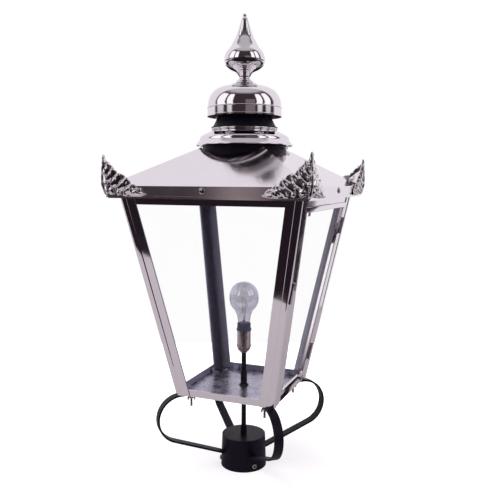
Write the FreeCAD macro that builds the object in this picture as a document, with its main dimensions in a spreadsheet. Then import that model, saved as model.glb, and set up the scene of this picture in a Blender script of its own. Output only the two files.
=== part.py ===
"""Square tapered post top lantern of polished sheet metal on a black steel base.

Millimetres, +Z up, origin at the centre of the underside of the post socket.
The front of the lantern faces -Y and its glazed door faces +X.
"""
import FreeCAD, Part
import math
import os
import Sketcher

Vector = FreeCAD.Vector
Z_AXIS = Vector(0, 0, 1)

# name: value, what it is (lengths in mm, angles in degrees)
SIZES = {
    "bore_radius": (38.3, "bore for a 76 mm post"),
    "bore_depth": (46.0, "depth of the post bore, up to the shoulder that stops the post"),
    "socket_wall": (9.7, "post socket, wall at its foot"),
    "socket_taper": (2.4, "post socket, radius lost towards its top"),
    "socket_crown": (8.5, "post socket, thickness of the closed top"),
    "stop_shoulder": (8.3, "shoulder that stops the post, width"),
    "chamber_height": (12.0, "space for the stem nut above the shoulder"),
    "set_screw_radius": (5.0, "post set screws"),
    "set_screw_level": (11.5, "height of the set screws"),
    "set_screw_proud": (2.6, "set screws stand out of the socket"),
    "set_screw_recess": (3.0, "set screws, depth of the key recess"),
    "set_screw_first": (-41.0, "direction of the first set screw"),
    "base_turn": (-2.0, "the base sits turned this much under the body"),
    "strap_width": (18.0, "leg strap, width"),
    "strap_gauge": (4.0, "leg strap, thickness"),
    "strap_bend": (49.0, "leg strap, radius of the big bend at mid thickness"),
    "strap_rise": (20.5, "leg strap, slope of the lower run"),
    "strap_seat": (31.038, "leg strap, height of its lower edge on the socket"),
    "strap_sink": (0.3, "leg strap, end let into the taper of the socket"),
    "strap_tail": (15.0, "leg strap, past its bolt towards the axis"),
    "bend_offset": (21.0, "leg strap, middle of the big bend outside the bolt"),
    "bolt_inset": (34.2, "leg bolts, in from the corner of the body"),
    "bolt_radius": (2.5, "leg bolts"),
    "bolt_drop": (28.5, "leg bolts, below the body"),
    "washer_radius": (6.0, "leg washers"),
    "washer_gauge": (1.2, "leg washers, thickness"),
    "nut_height": (6.0, "wing nut, hub height"),
    "nut_radius": (4.6, "wing nut, hub radius"),
    "wing_span": (22.0, "wing nut, over the wings"),
    "wing_height": (11.0, "wing nut, height over the wings"),
    "wing_gauge": (2.0, "wing nut, wing thickness"),
    "wing_drop": (1.5, "wing nut, wings below the top of the hub"),
    "stem_radius": (5.0, "stem tube outside"),
    "stem_wall": (1.1, "stem tube, wall"),
    "stem_rise": (77.5, "stem above the underside of the body"),
    "stem_drop": (10.0, "stem below the top of the nut space"),
    "jam_nut_wall": (3.3, "nut on the stem in the socket, wall"),
    "jam_nut_height": (5.0, "nut on the stem in the socket"),
    "collar_wall": (1.4, "collar on the stem above the socket, wall"),
    "collar_height": (17.0, "collar on the stem above the socket"),
    "sleeve_wall": (1.6, "sleeve on the stem above the floor, wall"),
    "sleeve_gap": (2.0, "sleeve above the floor"),
    "sleeve_length": (28.8, "sleeve on the stem above the floor"),
    "grommet_wall": (2.8, "floor grommet, wall in the floor hole"),
    "grommet_lip": (2.0, "floor grommet, lip round the floor hole"),
    "grommet_below": (1.5, "floor grommet, lip under the floor"),
    "grommet_above": (1.8, "floor grommet, lip above the floor"),
    "body_foot": (105.5, "half width of the body at its underside"),
    "body_lean": (0.1883, "half width gained for each mm of height"),
    "body_height": (399.0, "glazed body, underside to shelf"),
    "sill_height": (15.0, "base frame"),
    "head_height": (12.0, "head rail under the shelf"),
    "upstand_height": (16.5, "upstand of the top frame above its shelf"),
    "sheet": (1.5, "folded sheet of frames and posts"),
    "floor_gauge": (1.2, "floor sheet"),
    "sill_flange": (44.0, "inward flange of the base frame"),
    "post_flange": (31.0, "corner post, width on each face"),
    "bead_width": (13.0, "raised corner bead, width on each face"),
    "bead_proud": (1.2, "raised corner bead, height"),
    "bead_round": (5.0, "raised corner bead, corner radius"),
    "hem_width": (9.0, "hemmed glazing edge of a post"),
    "glass_gauge": (3.0, "glass"),
    "fit": (0.2, "clearance between fixed pieces"),
    "clip_width": (12.0, "glazing clip"),
    "clip_height": (18.0, "glazing clip"),
    "clip_gauge": (1.0, "glazing clip"),
    "clip_inset": (45.5, "lower glazing clips, in from the side of the body at its underside"),
    "clip_inset_head": (70.632, "upper glazing clips, in from the side of the body at the shelf"),
    "clip_inset_door": (84.632, "upper clips of the door, in from the side of the body at the shelf"),
    "door_gap": (0.8, "gap round the door"),
    "door_border": (10.0, "door frame, width"),
    "door_rebate": (4.0, "door frame, rebate round the glass"),
    "door_depth": (8.4, "door frame, depth"),
    "door_lip": (3.0, "door frame lip in front of the glass"),
    "stop_end": (20.0, "door stop, short of the door at each end"),
    "stop_reach": (6.0, "door stop, on each side of the edge of the door"),
    "stop_gap": (0.3, "door stop behind the door"),
    "knuckle_radius": (2.8, "hinge barrel"),
    "pin_radius": (1.5, "hinge pin"),
    "pin_play": (0.05, "hinge pin play in its knuckle"),
    "pin_head": (1.4, "hinge pin, height of its head"),
    "knuckle_length": (11.0, "one hinge knuckle"),
    "knuckle_gap": (0.3, "gap between knuckles"),
    "leaf_width": (11.0, "hinge leaf"),
    "leaf_gauge": (1.2, "hinge leaf"),
    "hinge_rise": (49.7, "middle of the lower hinge above the foot of the door"),
    "hinge_drop": (50.7, "middle of the upper hinge below the top of the door"),
    "latch_rise": (248.0, "pivot of the door latch above the underside of the body"),
    "latch_inset": (11.0, "latch pivot from the body corner"),
    "latch_length": (36.0, "latch bar from its pivot"),
    "latch_width": (9.0, "latch bar"),
    "latch_gauge": (2.0, "latch bar"),
    "latch_gap": (0.4, "latch bar above the bead"),
    "latch_pin": (2.0, "latch pivot"),
    "latch_knob": (4.4, "latch knob"),
    "latch_knob_height": (3.3, "latch knob"),
    "eave_overhang": (16.368, "fascia outside the body at the shelf"),
    "fascia_height": (21.3, "fascia"),
    "eave_lip": (1.2, "rolled lip of the fascia, projection"),
    "eave_lip_height": (3.0, "rolled lip of the fascia, height"),
    "roof_sheet": (1.2, "roof sheet"),
    "roof_pitch": (29.7, "slope of the roof"),
    "peak_inset": (30.0, "roof pyramid carried on inside the collar"),
    "fascia_screw_rise": (13.3, "fascia screws above the lower edge of the fascia"),
    "fascia_screw_head": (6.0, "fascia screw head"),
    "fascia_screw_proud": (2.6, "fascia screw head, height"),
    "fascia_screw_shank": (2.0, "fascia screw shank"),
    "fascia_screw_length": (9.0, "fascia screw, inside the fascia"),
    "leaf_base": (5.0, "corner ornament, plate"),
    "leaf_relief": (2.2, "corner ornament, bosses"),
    "leaf_rise": (1.3, "corner ornament above the lower edge of the fascia"),
    "leaf_height": (79.5, "corner ornament, lower edge to point"),
    "leaf_span": (92.0, "corner ornament, reach along each fascia"),
    "throat_radius": (92.0, "roof collar"),
    "throat_tuck": (9.391, "roof collar below the roof"),
    "collar_show": (19.609, "roof collar between roof and skirt"),
    "collar_seat": (7.2, "roof collar up inside the skirt"),
    "skirt_overhang": (6.0, "skirt rim outside the collar"),
    "skirt_height": (36.0, "skirt"),
    "ledge_margin": (4.0, "skirt ledge outside the vent gallery"),
    "vent_foot": (64.0, "vent gallery, radius below"),
    "vent_taper": (18.0, "vent gallery, radius lost towards its top"),
    "vent_height": (35.0, "vent gallery"),
    "vent_flange": (3.0, "vent gallery, flange on the skirt"),
    "vent_hole": (3.6, "vent gallery, holes"),
    "vent_hole_rise": (4.0, "vent gallery, holes above its middle"),
    "crown_gap": (22.0, "crown rim above the skirt"),
    "crown_overhang": (11.0, "crown rim outside the vent gallery"),
    "crown_step_height": (19.0, "crown dome, rim to step"),
    "crown_height": (60.5, "crown dome"),
    "spun": (1.2, "spun sheet of the domes"),
    "finial_foot": (28.0, "finial, foot radius"),
    "finial_neck": (11.0, "finial, neck radius"),
    "finial_belly": (41.0, "finial, largest radius"),
    "finial_rise": (50.5, "finial, foot to its largest radius"),
    "finial_point": (91.0, "finial, largest radius to its tip"),
    "finial_knob": (3.6, "finial, radius of the knob at the top"),
    "finial_bore": (28.0, "finial, depth of the rod hole"),
    "rod_radius": (3.0, "tie rod"),
    "rod_tail": (12.0, "tie rod below the bridge bar"),
    "spacer_wall": (3.8, "distance tube under the crown, wall"),
    "bridge_drop": (7.0, "bridge bar below the rim of the skirt"),
    "bridge_gauge": (3.0, "bridge bar, thickness"),
    "bridge_width": (20.0, "bridge bar, width"),
    "holder_room": (2.0, "lampholder barrel, room round the bulb cap"),
    "holder_wall": (1.0, "lampholder barrel wall"),
    "holder_flare": (1.4, "lampholder cap outside the barrel"),
    "stem_grip": (4.0, "stem inside the lampholder"),
    "holder_cap_height": (16.0, "lampholder, lower cap"),
    "barrel_height": (33.0, "lampholder barrel"),
    "ring_height": (14.0, "shade ring above the barrel"),
    "ring_skirt": (8.0, "shade ring down over the barrel"),
    "ring_flare": (1.2, "shade ring outside the barrel"),
    "bulb_cap_radius": (11.0, "bulb cap"),
    "bulb_depth": (15.0, "bulb cap in the barrel"),
    "bulb_pin": (1.0, "bayonet pins of the bulb cap"),
    "bulb_pin_rise": (8.0, "bayonet pins above the lower end of the cap"),
    "contact_radius": (2.0, "lampholder contacts"),
    "contact_height": (3.5, "lampholder contacts"),
    "contact_offset": (5.5, "lampholder contacts from the axis"),
    "bulb_radius": (30.0, "bulb"),
    "bulb_rise": (57.0, "middle of the bulb above the shade ring"),
    "bulb_neck": (13.2, "bulb neck"),
    "bulb_neck_rise": (4.0, "bulb neck above the shade ring"),
    "bulb_wall": (0.8, "bulb glass"),
}

os.makedirs("parts", exist_ok=True)
doc = FreeCAD.newDocument("lantern")
sheet = doc.addObject("Spreadsheet::Sheet", "Sizes")


class Size:
    """A size as its number and as the sheet formula that gives it."""

    def __init__(self, value, text):
        self.value = value
        self.text = text

    def __add__(self, other):
        other = size(other)
        return Size(self.value + other.value, f"({self.text} + {other.text})")

    def __radd__(self, other):
        return size(other) + self

    def __sub__(self, other):
        other = size(other)
        return Size(self.value - other.value, f"({self.text} - {other.text})")

    def __rsub__(self, other):
        return size(other) - self

    def __mul__(self, other):
        other = size(other)
        return Size(self.value * other.value, f"({self.text} * {other.text})")

    def __rmul__(self, other):
        return size(other) * self

    def __rtruediv__(self, other):
        return size(other) / self

    def __truediv__(self, other):
        other = size(other)
        return Size(self.value / other.value, f"({self.text} / {other.text})")

    def __neg__(self):
        return Size(-self.value, f"(0 - {self.text})")


def size(value):
    return value if isinstance(value, Size) else Size(float(value), f"({value:.6f})")


def tangent(angle):
    return Size(math.tan(math.radians(angle.value)), f"tan({angle.text})")


def sine(angle):
    return Size(math.sin(math.radians(angle.value)), f"sin({angle.text})")


def cosine(angle):
    return Size(math.cos(math.radians(angle.value)), f"cos({angle.text})")


def slope_angle(rise):
    """The angle in degrees whose tangent is the rise."""
    return Size(math.degrees(math.atan(rise.value)), f"(atan({rise.text}) / 1 deg)")


def root(number):
    return Size(math.sqrt(number.value), f"sqrt({number.text})")


class Sheet:
    """The driving sizes, by name."""


    row = 0


S = Sheet


def enter(name, cell, value, note):
    """Write one row of the sheet and give the size its name."""
    Sheet.row += 1
    sheet.set(f"A{Sheet.row}", name)
    sheet.set(f"B{Sheet.row}", cell)
    sheet.setAlias(f"B{Sheet.row}", name)
    sheet.set(f"C{Sheet.row}", note)
    setattr(Sheet, name, Size(value, f"Sizes.{name}"))


def follow(name, value, note):
    """A size that follows from others, as a formula in the sheet."""
    enter(name, "=" + value.text.replace("Sizes.", ""), value.value, note)


for given, (length, meaning) in SIZES.items():
    enter(given, f"{length}", length, meaning)


# ---------------------------------------------------------------- sizes that follow, from the base up

follow("socket_foot_radius", S.bore_radius + S.socket_wall, "post socket, radius at its foot")
follow("socket_top_radius", S.socket_foot_radius - S.socket_taper, "post socket, radius at its top")
follow("chamber_radius", S.bore_radius - S.stop_shoulder, "space for the stem nut")
follow("chamber_top", S.bore_depth + S.chamber_height, "underside of the closed top of the socket")
follow("socket_height", S.chamber_top + S.socket_crown, "post socket, height")
follow("bolt_circle", S.body_foot * math.sqrt(2) - S.bolt_inset, "leg bolts, distance from the axis")
follow("strap_reach", S.bolt_circle + S.bend_offset, "leg strap, middle of the big bend from the axis")
follow("strap_end", S.bolt_circle - S.strap_tail, "inner end of a strap from the axis")
follow("strap_start", S.socket_foot_radius - S.strap_sink, "lower end of a strap from the axis")
follow("strap_outer", S.strap_bend + S.strap_gauge / 2, "leg strap, outside of the big bend")
follow("strap_run", S.strap_reach + S.strap_outer * sine(S.strap_rise) - S.strap_start,
       "leg strap, length of the lower run")
follow("bend_level", S.strap_seat + S.strap_run * tangent(S.strap_rise)
       + S.strap_outer * cosine(S.strap_rise), "leg strap, middle of the big bend")
follow("body_bottom", S.bend_level + S.strap_outer, "underside of the glazed body")
follow("bolt_end", S.body_bottom - S.bolt_drop, "lower end of the leg bolts")
follow("stem_bore", S.stem_radius - S.stem_wall, "stem tube inside")
follow("stem_top", S.body_bottom + S.stem_rise, "upper end of the stem")
follow("stem_hole", S.stem_radius + S.fit, "holes that the stem passes through")
follow("grommet_hole", S.stem_hole + S.grommet_wall, "hole in the floor for the grommet")
follow("grommet_radius", S.grommet_hole + S.grommet_lip, "floor grommet, lip radius")
follow("floor_bottom", S.body_bottom + S.sheet, "underside of the floor sheet")
follow("floor_top", S.floor_bottom + S.floor_gauge, "upper side of the floor sheet")
follow("sleeve_bottom", S.floor_top + S.sleeve_gap, "lower end of the sleeve")
follow("sleeve_top", S.sleeve_bottom + S.sleeve_length, "upper end of the sleeve")
follow("sill_top", S.body_bottom + S.sill_height, "upper edge of the base frame")
follow("shelf_level", S.body_bottom + S.body_height, "underside of the shelf of the top frame")
follow("head_bottom", S.shelf_level - S.head_height, "lower edge of the top frame")
follow("shelf_top", S.shelf_level + S.sheet, "upper side of the shelf of the top frame")
follow("top_upstand", S.shelf_top + S.upstand_height, "upper edge of the top frame")
follow("rail_inset", S.bead_proud + S.sheet + S.fit, "frames behind the outer line of the body")
follow("glass_inset", S.rail_inset + S.sheet + S.fit, "glass behind the outer line of the body")
follow("door_bottom", S.sill_top + S.door_gap, "lower edge of the door")
follow("door_top", S.head_bottom - S.door_gap, "upper edge of the door")
follow("hinge_low", S.door_bottom + S.hinge_rise, "middle of the lower hinge")
follow("hinge_high", S.door_top - S.hinge_drop, "middle of the upper hinge")
follow("latch_level", S.body_bottom + S.latch_rise, "pivot of the door latch")
follow("body_head", S.body_foot + S.body_lean * S.body_height, "half width of the body at the shelf")
follow("eave_half", S.body_head + S.eave_overhang, "half width of the roof fascia")
follow("clip_spacing", S.body_foot - S.clip_inset, "lower clips from the middle of a pane")
follow("clip_spacing_head", S.body_head - S.clip_inset_head, "upper clips from the middle of a pane")
follow("clip_spacing_door", S.body_head - S.clip_inset_door, "upper clips from the middle of the door")
follow("fascia_bottom", S.shelf_top + S.fit, "lower edge of the fascia")
follow("fascia_top", S.fascia_bottom + S.fascia_height, "upper edge of the fascia")
follow("fascia_screw_level", S.fascia_bottom + S.fascia_screw_rise, "fascia screws")
follow("leaf_bottom", S.fascia_bottom + S.leaf_rise, "corner ornament, lower edge")
follow("leaf_tip", S.leaf_bottom + S.leaf_height, "corner ornament, point")
follow("roof_crown_half", S.throat_radius - S.peak_inset, "half width where the roof pyramid ends")
follow("throat_level", S.fascia_top + (S.eave_half - S.throat_radius) * tangent(S.roof_pitch),
       "roof where the collar comes through, in the middle of a side")
follow("throat_bottom", S.throat_level - S.throat_tuck, "roof collar, lower edge")
follow("skirt_bottom", S.throat_level + S.collar_show, "skirt, lower edge")
follow("skirt_rim", S.throat_radius + S.skirt_overhang, "skirt, rim radius")
follow("skirt_top", S.skirt_bottom + S.skirt_height, "skirt, ledge level")
follow("skirt_ledge", S.vent_foot + S.ledge_margin, "skirt, ledge radius")
follow("vent_cap", S.vent_foot - S.vent_taper, "vent gallery, radius above")
follow("vent_top", S.skirt_top + S.vent_height, "vent gallery, top")
follow("crown_rim", S.vent_foot + S.crown_overhang, "crown dome, rim radius")
follow("crown_bottom", S.skirt_top + S.crown_gap, "crown dome, rim level")
follow("crown_step", S.crown_bottom + S.crown_step_height, "crown dome, step level")
follow("crown_top", S.crown_bottom + S.crown_height, "crown dome, top")
follow("finial_belly_level", S.crown_top + S.finial_rise, "finial, level of the largest radius")
follow("finial_tip", S.finial_belly_level + S.finial_point, "finial, top")
follow("rod_hole", S.rod_radius + S.fit, "holes for the tie rod")
follow("bridge_level", S.skirt_bottom - S.bridge_drop, "underside of the bridge bar")
follow("rod_end", S.bridge_level - S.rod_tail, "tie rod, lower end")
follow("holder_radius", S.bulb_cap_radius + S.holder_room + S.holder_wall, "lampholder barrel")
follow("holder_bulge", S.holder_radius + S.holder_flare, "lampholder cap")
follow("holder_bottom", S.stem_top - S.stem_grip, "lampholder, lower end")
follow("holder_seam", S.holder_bottom + S.holder_cap_height, "lampholder, cap to barrel")
follow("holder_top", S.holder_seam + S.barrel_height, "lampholder barrel, upper end")
follow("ring_top", S.holder_top + S.ring_height, "shade ring, upper edge")
follow("ring_radius", S.holder_radius + S.ring_flare, "shade ring")
follow("bulb_cap_bottom", S.holder_top - S.bulb_depth, "bulb cap, lower end")
follow("bulb_centre", S.ring_top + S.bulb_rise, "middle of the bulb")
follow("bulb_neck_level", S.ring_top + S.bulb_neck_rise, "bulb neck")
doc.recompute()


# ---------------------------------------------------------------- helpers

def bind(item, name, value):
    item.setExpression(name, size(value).text)


def place(item, x=0, y=0, z=0):
    for axis, value in zip("xyz", (x, y, z)):
        bind(item, f"Placement.Base.{axis}", value)
    return item


def turned(item, axis, angle):
    """Turn a piece about an axis through its own origin, by a bound angle."""
    start = size(angle)
    item.Placement = FreeCAD.Placement(item.Placement.Base, FreeCAD.Rotation(axis, start.value))
    bind(item, "Placement.Rotation.Angle", start)
    return item


def cylinder(name, radius, low, high, x=0, y=0):
    item = doc.addObject("Part::Cylinder", name)
    bind(item, "Radius", radius)
    bind(item, "Height", size(high) - low)
    return place(item, x, y, low)


def cone(name, foot, top, low, high):
    item = doc.addObject("Part::Cone", name)
    bind(item, "Radius1", foot)
    bind(item, "Radius2", top)
    bind(item, "Height", size(high) - low)
    return place(item, 0, 0, low)


def box(name, x, y, z):
    """A box from three (low, high) ranges."""
    item = doc.addObject("Part::Box", name)
    for side, (low, high) in zip(("Length", "Width", "Height"), (x, y, z)):
        bind(item, side, size(high) - low)
    return place(item, x[0], y[0], z[0])


def spoke(name, radius, start, end, level, direction):
    """A round bar along a radius of the lantern."""
    item = doc.addObject("Part::Cylinder", name)
    bind(item, "Radius", radius)
    bind(item, "Height", size(end) - start)
    across = size(direction)
    turned(item, Vector(-sine(across).value, cosine(across).value, 0), 90)
    bind(item, "Placement.Rotation.Axis.x", -sine(across))
    bind(item, "Placement.Rotation.Axis.y", cosine(across))
    return place(item, size(start) * cosine(across), size(start) * sine(across), level)


def cut(name, base, *tools):
    item = doc.addObject("Part::Cut", name)
    item.Base = base
    item.Tool = tools[0] if len(tools) == 1 else fuse(f"{name}_tools", *tools)
    return item


def fuse(name, *pieces):
    item = doc.addObject("Part::MultiFuse", name)
    item.Shapes = list(pieces)
    return item


def group(name, *pieces):
    """Separate solids that share one node."""
    item = doc.addObject("Part::Compound", name)
    item.Links = list(pieces)
    return item


def frustum(name, low, high, across_low, across_high, deep_low, deep_high):
    """A solid between two level rectangles: x ranges, then y ranges, below and above."""
    item = doc.addObject("Part::Wedge", name)
    values = {
        "Ymin": low, "Ymax": high,
        "Xmin": across_low[0], "Xmax": across_low[1],
        "X2min": across_high[0], "X2max": across_high[1],
        "Zmin": -size(deep_low[1]), "Zmax": -size(deep_low[0]),
        "Z2min": -size(deep_high[1]), "Z2max": -size(deep_high[0]),
    }
    for key, value in values.items():
        setattr(item, key, size(value).value)
    for key, value in values.items():
        bind(item, key, value)
    item.Placement = FreeCAD.Placement(Vector(), FreeCAD.Rotation(Vector(1, 0, 0), 90))
    return item


def half(level):
    """Half width of the glazed body at a level, over the corner beads."""
    return S.body_foot + S.body_lean * (size(level) - S.body_bottom)


def square(name, low, high, inset):
    """A square tapered block that follows the sides of the body, inset from them."""
    foot = half(low) - inset
    top = half(high) - inset
    return frustum(name, low, high, (-foot, foot), (-top, top), (-foot, foot), (-top, top))


def origin_plane(body, role):
    return [plane for plane in body.Origin.OriginFeatures if plane.Role == role][0]


def new_body(name):
    body = doc.addObject("PartDesign::Body", name)
    body.Label = name
    return body


def new_sketch(body, name, role="XZ_Plane", offset=0):
    sketch = body.newObject("Sketcher::SketchObject", name)
    sketch.AttachmentSupport = [(origin_plane(body, role), "")]
    sketch.MapMode = "FlatFace"
    bind(sketch, "AttachmentOffset.Base.z", offset)
    return sketch


def arc_centre(start, end, radius):
    """Centre of a short arc; it lies left of the way from start to end for a positive radius."""
    middle = (start + end) * 0.5
    chord = end - start
    rise = math.sqrt(max(radius * radius - chord.Length ** 2 / 4, 0.0))
    left = Vector(-chord.y, chord.x, 0).normalize()
    return middle + left * (rise if radius > 0 else -rise)


def outline(sketch, points):
    """Draw a closed outline. A third number makes the stretch that ends there an arc."""
    corners = [Vector(size(p[0]).value, size(p[1]).value, 0) for p in points]
    count = len(points)
    shapes = []
    ends = []
    for i in range(count):
        start, end = corners[i], corners[(i + 1) % count]
        target = points[(i + 1) % count]
        if len(target) == 2:
            shapes.append(Part.LineSegment(start, end))
            ends.append((1, 2))
            continue
        radius = size(target[2]).value
        centre = arc_centre(start, end, radius)
        first, last = (start, end) if radius > 0 else (end, start)
        angles = [math.atan2(q.y - centre.y, q.x - centre.x) for q in (first, last)]
        shapes.append(Part.ArcOfCircle(Part.Circle(centre, Z_AXIS, abs(radius)), *angles))
        ends.append((1, 2) if radius > 0 else (2, 1))
    sketch.addGeometry(shapes, False)
    rules = []
    formulas = []
    for i in range(count):
        following = (i + 1) % count
        rules.append(Sketcher.Constraint("Coincident", i, ends[i][1], following, ends[following][0]))
    for i, point in enumerate(points):
        for kind, axis, value in (("DistanceX", -2, point[0]), ("DistanceY", -1, point[1])):
            value = size(value)
            if value.value == 0:
                rules.append(Sketcher.Constraint("PointOnObject", i, ends[i][0], axis))
                continue
            formulas.append((len(rules), value.text))
            rules.append(Sketcher.Constraint(kind, -1, 1, i, ends[i][0], value.value))
        if len(point) == 3:
            radius = size(point[2])
            text = radius.text if radius.value > 0 else f"(0 - {radius.text})"
            formulas.append((len(rules), text))
            rules.append(Sketcher.Constraint("Radius", (i - 1) % count, abs(radius.value)))
    sketch.addConstraint(rules)
    for index, text in formulas:
        sketch.setExpression(f"Constraints[{index}]", text)


def mirrored(points):
    return [(-size(p[0]), p[1]) if len(p) == 2 else (-size(p[0]), p[1], -size(p[2])) for p in points]


def lathe(name, points):
    """A turned or spun piece: the outline gives radius and level."""
    body = new_body(name)
    sketch = new_sketch(body, f"{name}_profile")
    outline(sketch, points)
    turn = body.newObject("PartDesign::Revolution", f"{name}_turn")
    turn.Profile = sketch
    turn.ReferenceAxis = (sketch, ["V_Axis"])
    turn.Angle = 360
    sketch.Visibility = False
    return body


def pad(body, sketch, length, lean=None):
    feature = body.newObject("PartDesign::Pad", f"{sketch.Name}_pad")
    feature.Profile = sketch
    bind(feature, "Length", length)
    if lean:
        feature.UseCustomVector = True
        feature.Direction = Vector(lean[0].value, lean[1].value, 1)
        feature.AlongSketchNormal = True
        bind(feature, "Direction.x", lean[0])
        bind(feature, "Direction.y", lean[1])
    return feature


def tube(name, outer, inner, low, high):
    return cut(name, cylinder(f"{name}_outer", outer, low, high),
               cylinder(f"{name}_hole", inner, size(low) - 1, size(high) + 1))


CORNERS = {"front_right": 0, "back_right": 90, "back_left": 180, "front_left": 270}
LATCH_CORNER = "front_right"


# ---------------------------------------------------------------- base

def post_socket():
    """Black cup that drops over the post, with a flat closed top."""
    wall = cone("socket_wall", S.socket_foot_radius, S.socket_top_radius, 0, S.socket_height)
    bore = cylinder("socket_bore", S.bore_radius, -1, S.bore_depth)
    chamber = cylinder("socket_chamber", S.chamber_radius, S.bore_depth - 1, S.chamber_top)
    hole = cylinder("socket_stem_hole", S.stem_hole, S.chamber_top - 1, S.socket_height + 1)
    screws = [spoke(f"socket_screw_hole_{i}", S.set_screw_radius + S.fit, S.bore_radius - 2,
                    S.socket_foot_radius + 2, S.set_screw_level, S.set_screw_first + 120 * i)
              for i in range(3)]
    cut("post_socket", wall, bore, chamber, hole, *screws)


def socket_set_screws():
    """Three socket head set screws that clamp the post."""
    pieces = []
    for i in range(3):
        way = S.set_screw_first + 120 * i
        end = S.socket_foot_radius + S.set_screw_proud
        shank = spoke(f"set_screw_{i}_shank", S.set_screw_radius, S.bore_radius + 1, end,
                      S.set_screw_level, way)
        recess = spoke(f"set_screw_{i}_recess", S.set_screw_radius * 0.5, end - S.set_screw_recess, end + 1,
                       S.set_screw_level, way)
        pieces.append(cut(f"set_screw_{i}", shank, recess))
    group("socket_set_screws", *pieces)


def strap_outline():
    """Edge view of a leg strap: from the socket out, round the big bend and in under the body."""
    t = S.strap_gauge
    top = S.body_bottom
    centre_x = S.strap_reach
    centre_z = S.bend_level
    outer = S.strap_outer
    inner = outer - t
    sin_rise = sine(S.strap_rise)
    cos_rise = cosine(S.strap_rise)
    slope = tangent(S.strap_rise)
    start = S.strap_start
    low_outer = (centre_x + outer * sin_rise, centre_z - outer * cos_rise)
    low_inner = (centre_x + inner * sin_rise, centre_z - inner * cos_rise)
    side_x = centre_x + outer
    inner_side_x = centre_x + inner
    return [
        (start, low_outer[1] - (low_outer[0] - start) * slope),
        (low_outer[0], low_outer[1]),
        (side_x, centre_z, outer),
        (centre_x, top, outer),
        (S.strap_end, top),
        (S.strap_end, top - t),
        (centre_x, top - t),
        (inner_side_x, centre_z, -inner),
        (low_inner[0], low_inner[1], -inner),
        (start, low_inner[1] - (low_inner[0] - start) * slope),
    ]


def leg_straps():
    """Four bent steel straps that carry the body on the socket."""
    for name, quarter in CORNERS.items():
        body = new_body(f"leg_strap_{name}_bar")
        sketch = new_sketch(body, f"strap_{name}_edge", offset=-S.strap_width / 2)
        outline(sketch, strap_outline())
        pad(body, sketch, S.strap_width)
        hole = cylinder(f"strap_{name}_hole", S.bolt_radius + S.fit, S.body_bottom - S.strap_gauge - 1,
                        S.body_bottom + 1, S.bolt_circle)
        socket = cone(f"strap_{name}_socket", S.socket_foot_radius, S.socket_top_radius, 0, S.socket_height)
        turned(cut(f"leg_strap_{name}", body, hole, socket), Z_AXIS, S.base_turn + quarter - 45)


def leg_bolt_at(name, quarter, make):
    """Build a piece on the bolt circle on +X and turn it to its corner."""
    return turned(make(name), Z_AXIS, S.base_turn + quarter - 45)


def leg_bolts():
    """Dome headed bolts through floor, base frame and strap."""
    seat = S.floor_top

    def bolt(name):
        shank = cylinder(f"{name}_shank", S.bolt_radius, S.bolt_end, seat + 1, S.bolt_circle)
        head = cylinder(f"{name}_head", S.bolt_radius * 2, seat, seat + S.bolt_radius, S.bolt_circle)
        return fuse(name, shank, head)

    group("leg_bolts", *[leg_bolt_at(f"bolt_{n}", q, bolt) for n, q in CORNERS.items()])


def leg_washers():
    """Plain washers under the straps."""
    high = S.body_bottom - S.strap_gauge

    def washer(name):
        disc = cylinder(f"{name}_disc", S.washer_radius, high - S.washer_gauge, high, S.bolt_circle)
        hole = cylinder(f"{name}_hole", S.bolt_radius + S.fit, high - S.washer_gauge - 1, high + 1,
                        S.bolt_circle)
        return cut(name, disc, hole)

    group("leg_washers", *[leg_bolt_at(f"washer_{n}", q, washer) for n, q in CORNERS.items()])


def wing_nuts():
    """A wing nut under each washer: hub and two upswept wings."""
    high = S.body_bottom - S.strap_gauge - S.washer_gauge - S.knuckle_gap
    hub_low = high - S.nut_height
    for name, quarter in CORNERS.items():
        def nut(label):
            hub = cylinder(f"{label}_hub", S.nut_radius, hub_low, high, S.bolt_circle)
            wings = frustum(f"{label}_wings", high - S.wing_height, high - S.wing_drop,
                            (S.bolt_circle - S.wing_gauge / 2, S.bolt_circle + S.wing_gauge / 2),
                            (S.bolt_circle - S.wing_gauge / 2, S.bolt_circle + S.wing_gauge / 2),
                            (-S.wing_span / 2, S.wing_span / 2),
                            (-S.nut_radius, S.nut_radius))
            slot = cylinder(f"{label}_slot", S.nut_radius, high - S.wing_height - 1, hub_low,
                            S.bolt_circle)
            hole = cylinder(f"{label}_hole", S.bolt_radius + S.pin_play, hub_low - 1, high + 1,
                            S.bolt_circle)
            return cut(label, fuse(f"{label}_solid", hub, wings), slot, hole)

        leg_bolt_at(f"wing_nut_{name}", quarter, nut)


# ---------------------------------------------------------------- stem and floor

def stem():
    """Black tube that carries the lampholder up from the socket, with its nuts and collars."""
    tube("stem_tube", S.stem_radius, S.stem_bore, S.chamber_top - S.stem_drop, S.stem_top)
    tube("stem_jam_nut", S.stem_hole + S.jam_nut_wall, S.stem_hole, S.chamber_top - S.jam_nut_height,
         S.chamber_top)
    tube("stem_collar", S.stem_hole + S.collar_wall, S.stem_hole, S.socket_height,
         S.socket_height + S.collar_height)
    tube("stem_sleeve", S.stem_hole + S.sleeve_wall, S.stem_hole, S.sleeve_bottom, S.sleeve_top)


def floor_grommet():
    """Rubber ring that closes the floor hole round the stem."""
    low, high = S.floor_bottom, S.floor_top
    gap = S.fit / 2
    lathe("floor_grommet", [
        (S.stem_hole, low - S.grommet_below),
        (S.grommet_radius, low - S.grommet_below),
        (S.grommet_radius, low - gap),
        (S.grommet_hole - gap, low - gap),
        (S.grommet_hole - gap, high + gap),
        (S.grommet_radius, high + gap),
        (S.grommet_radius, high + S.grommet_above),
        (S.stem_hole, high + S.grommet_above),
    ])


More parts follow.
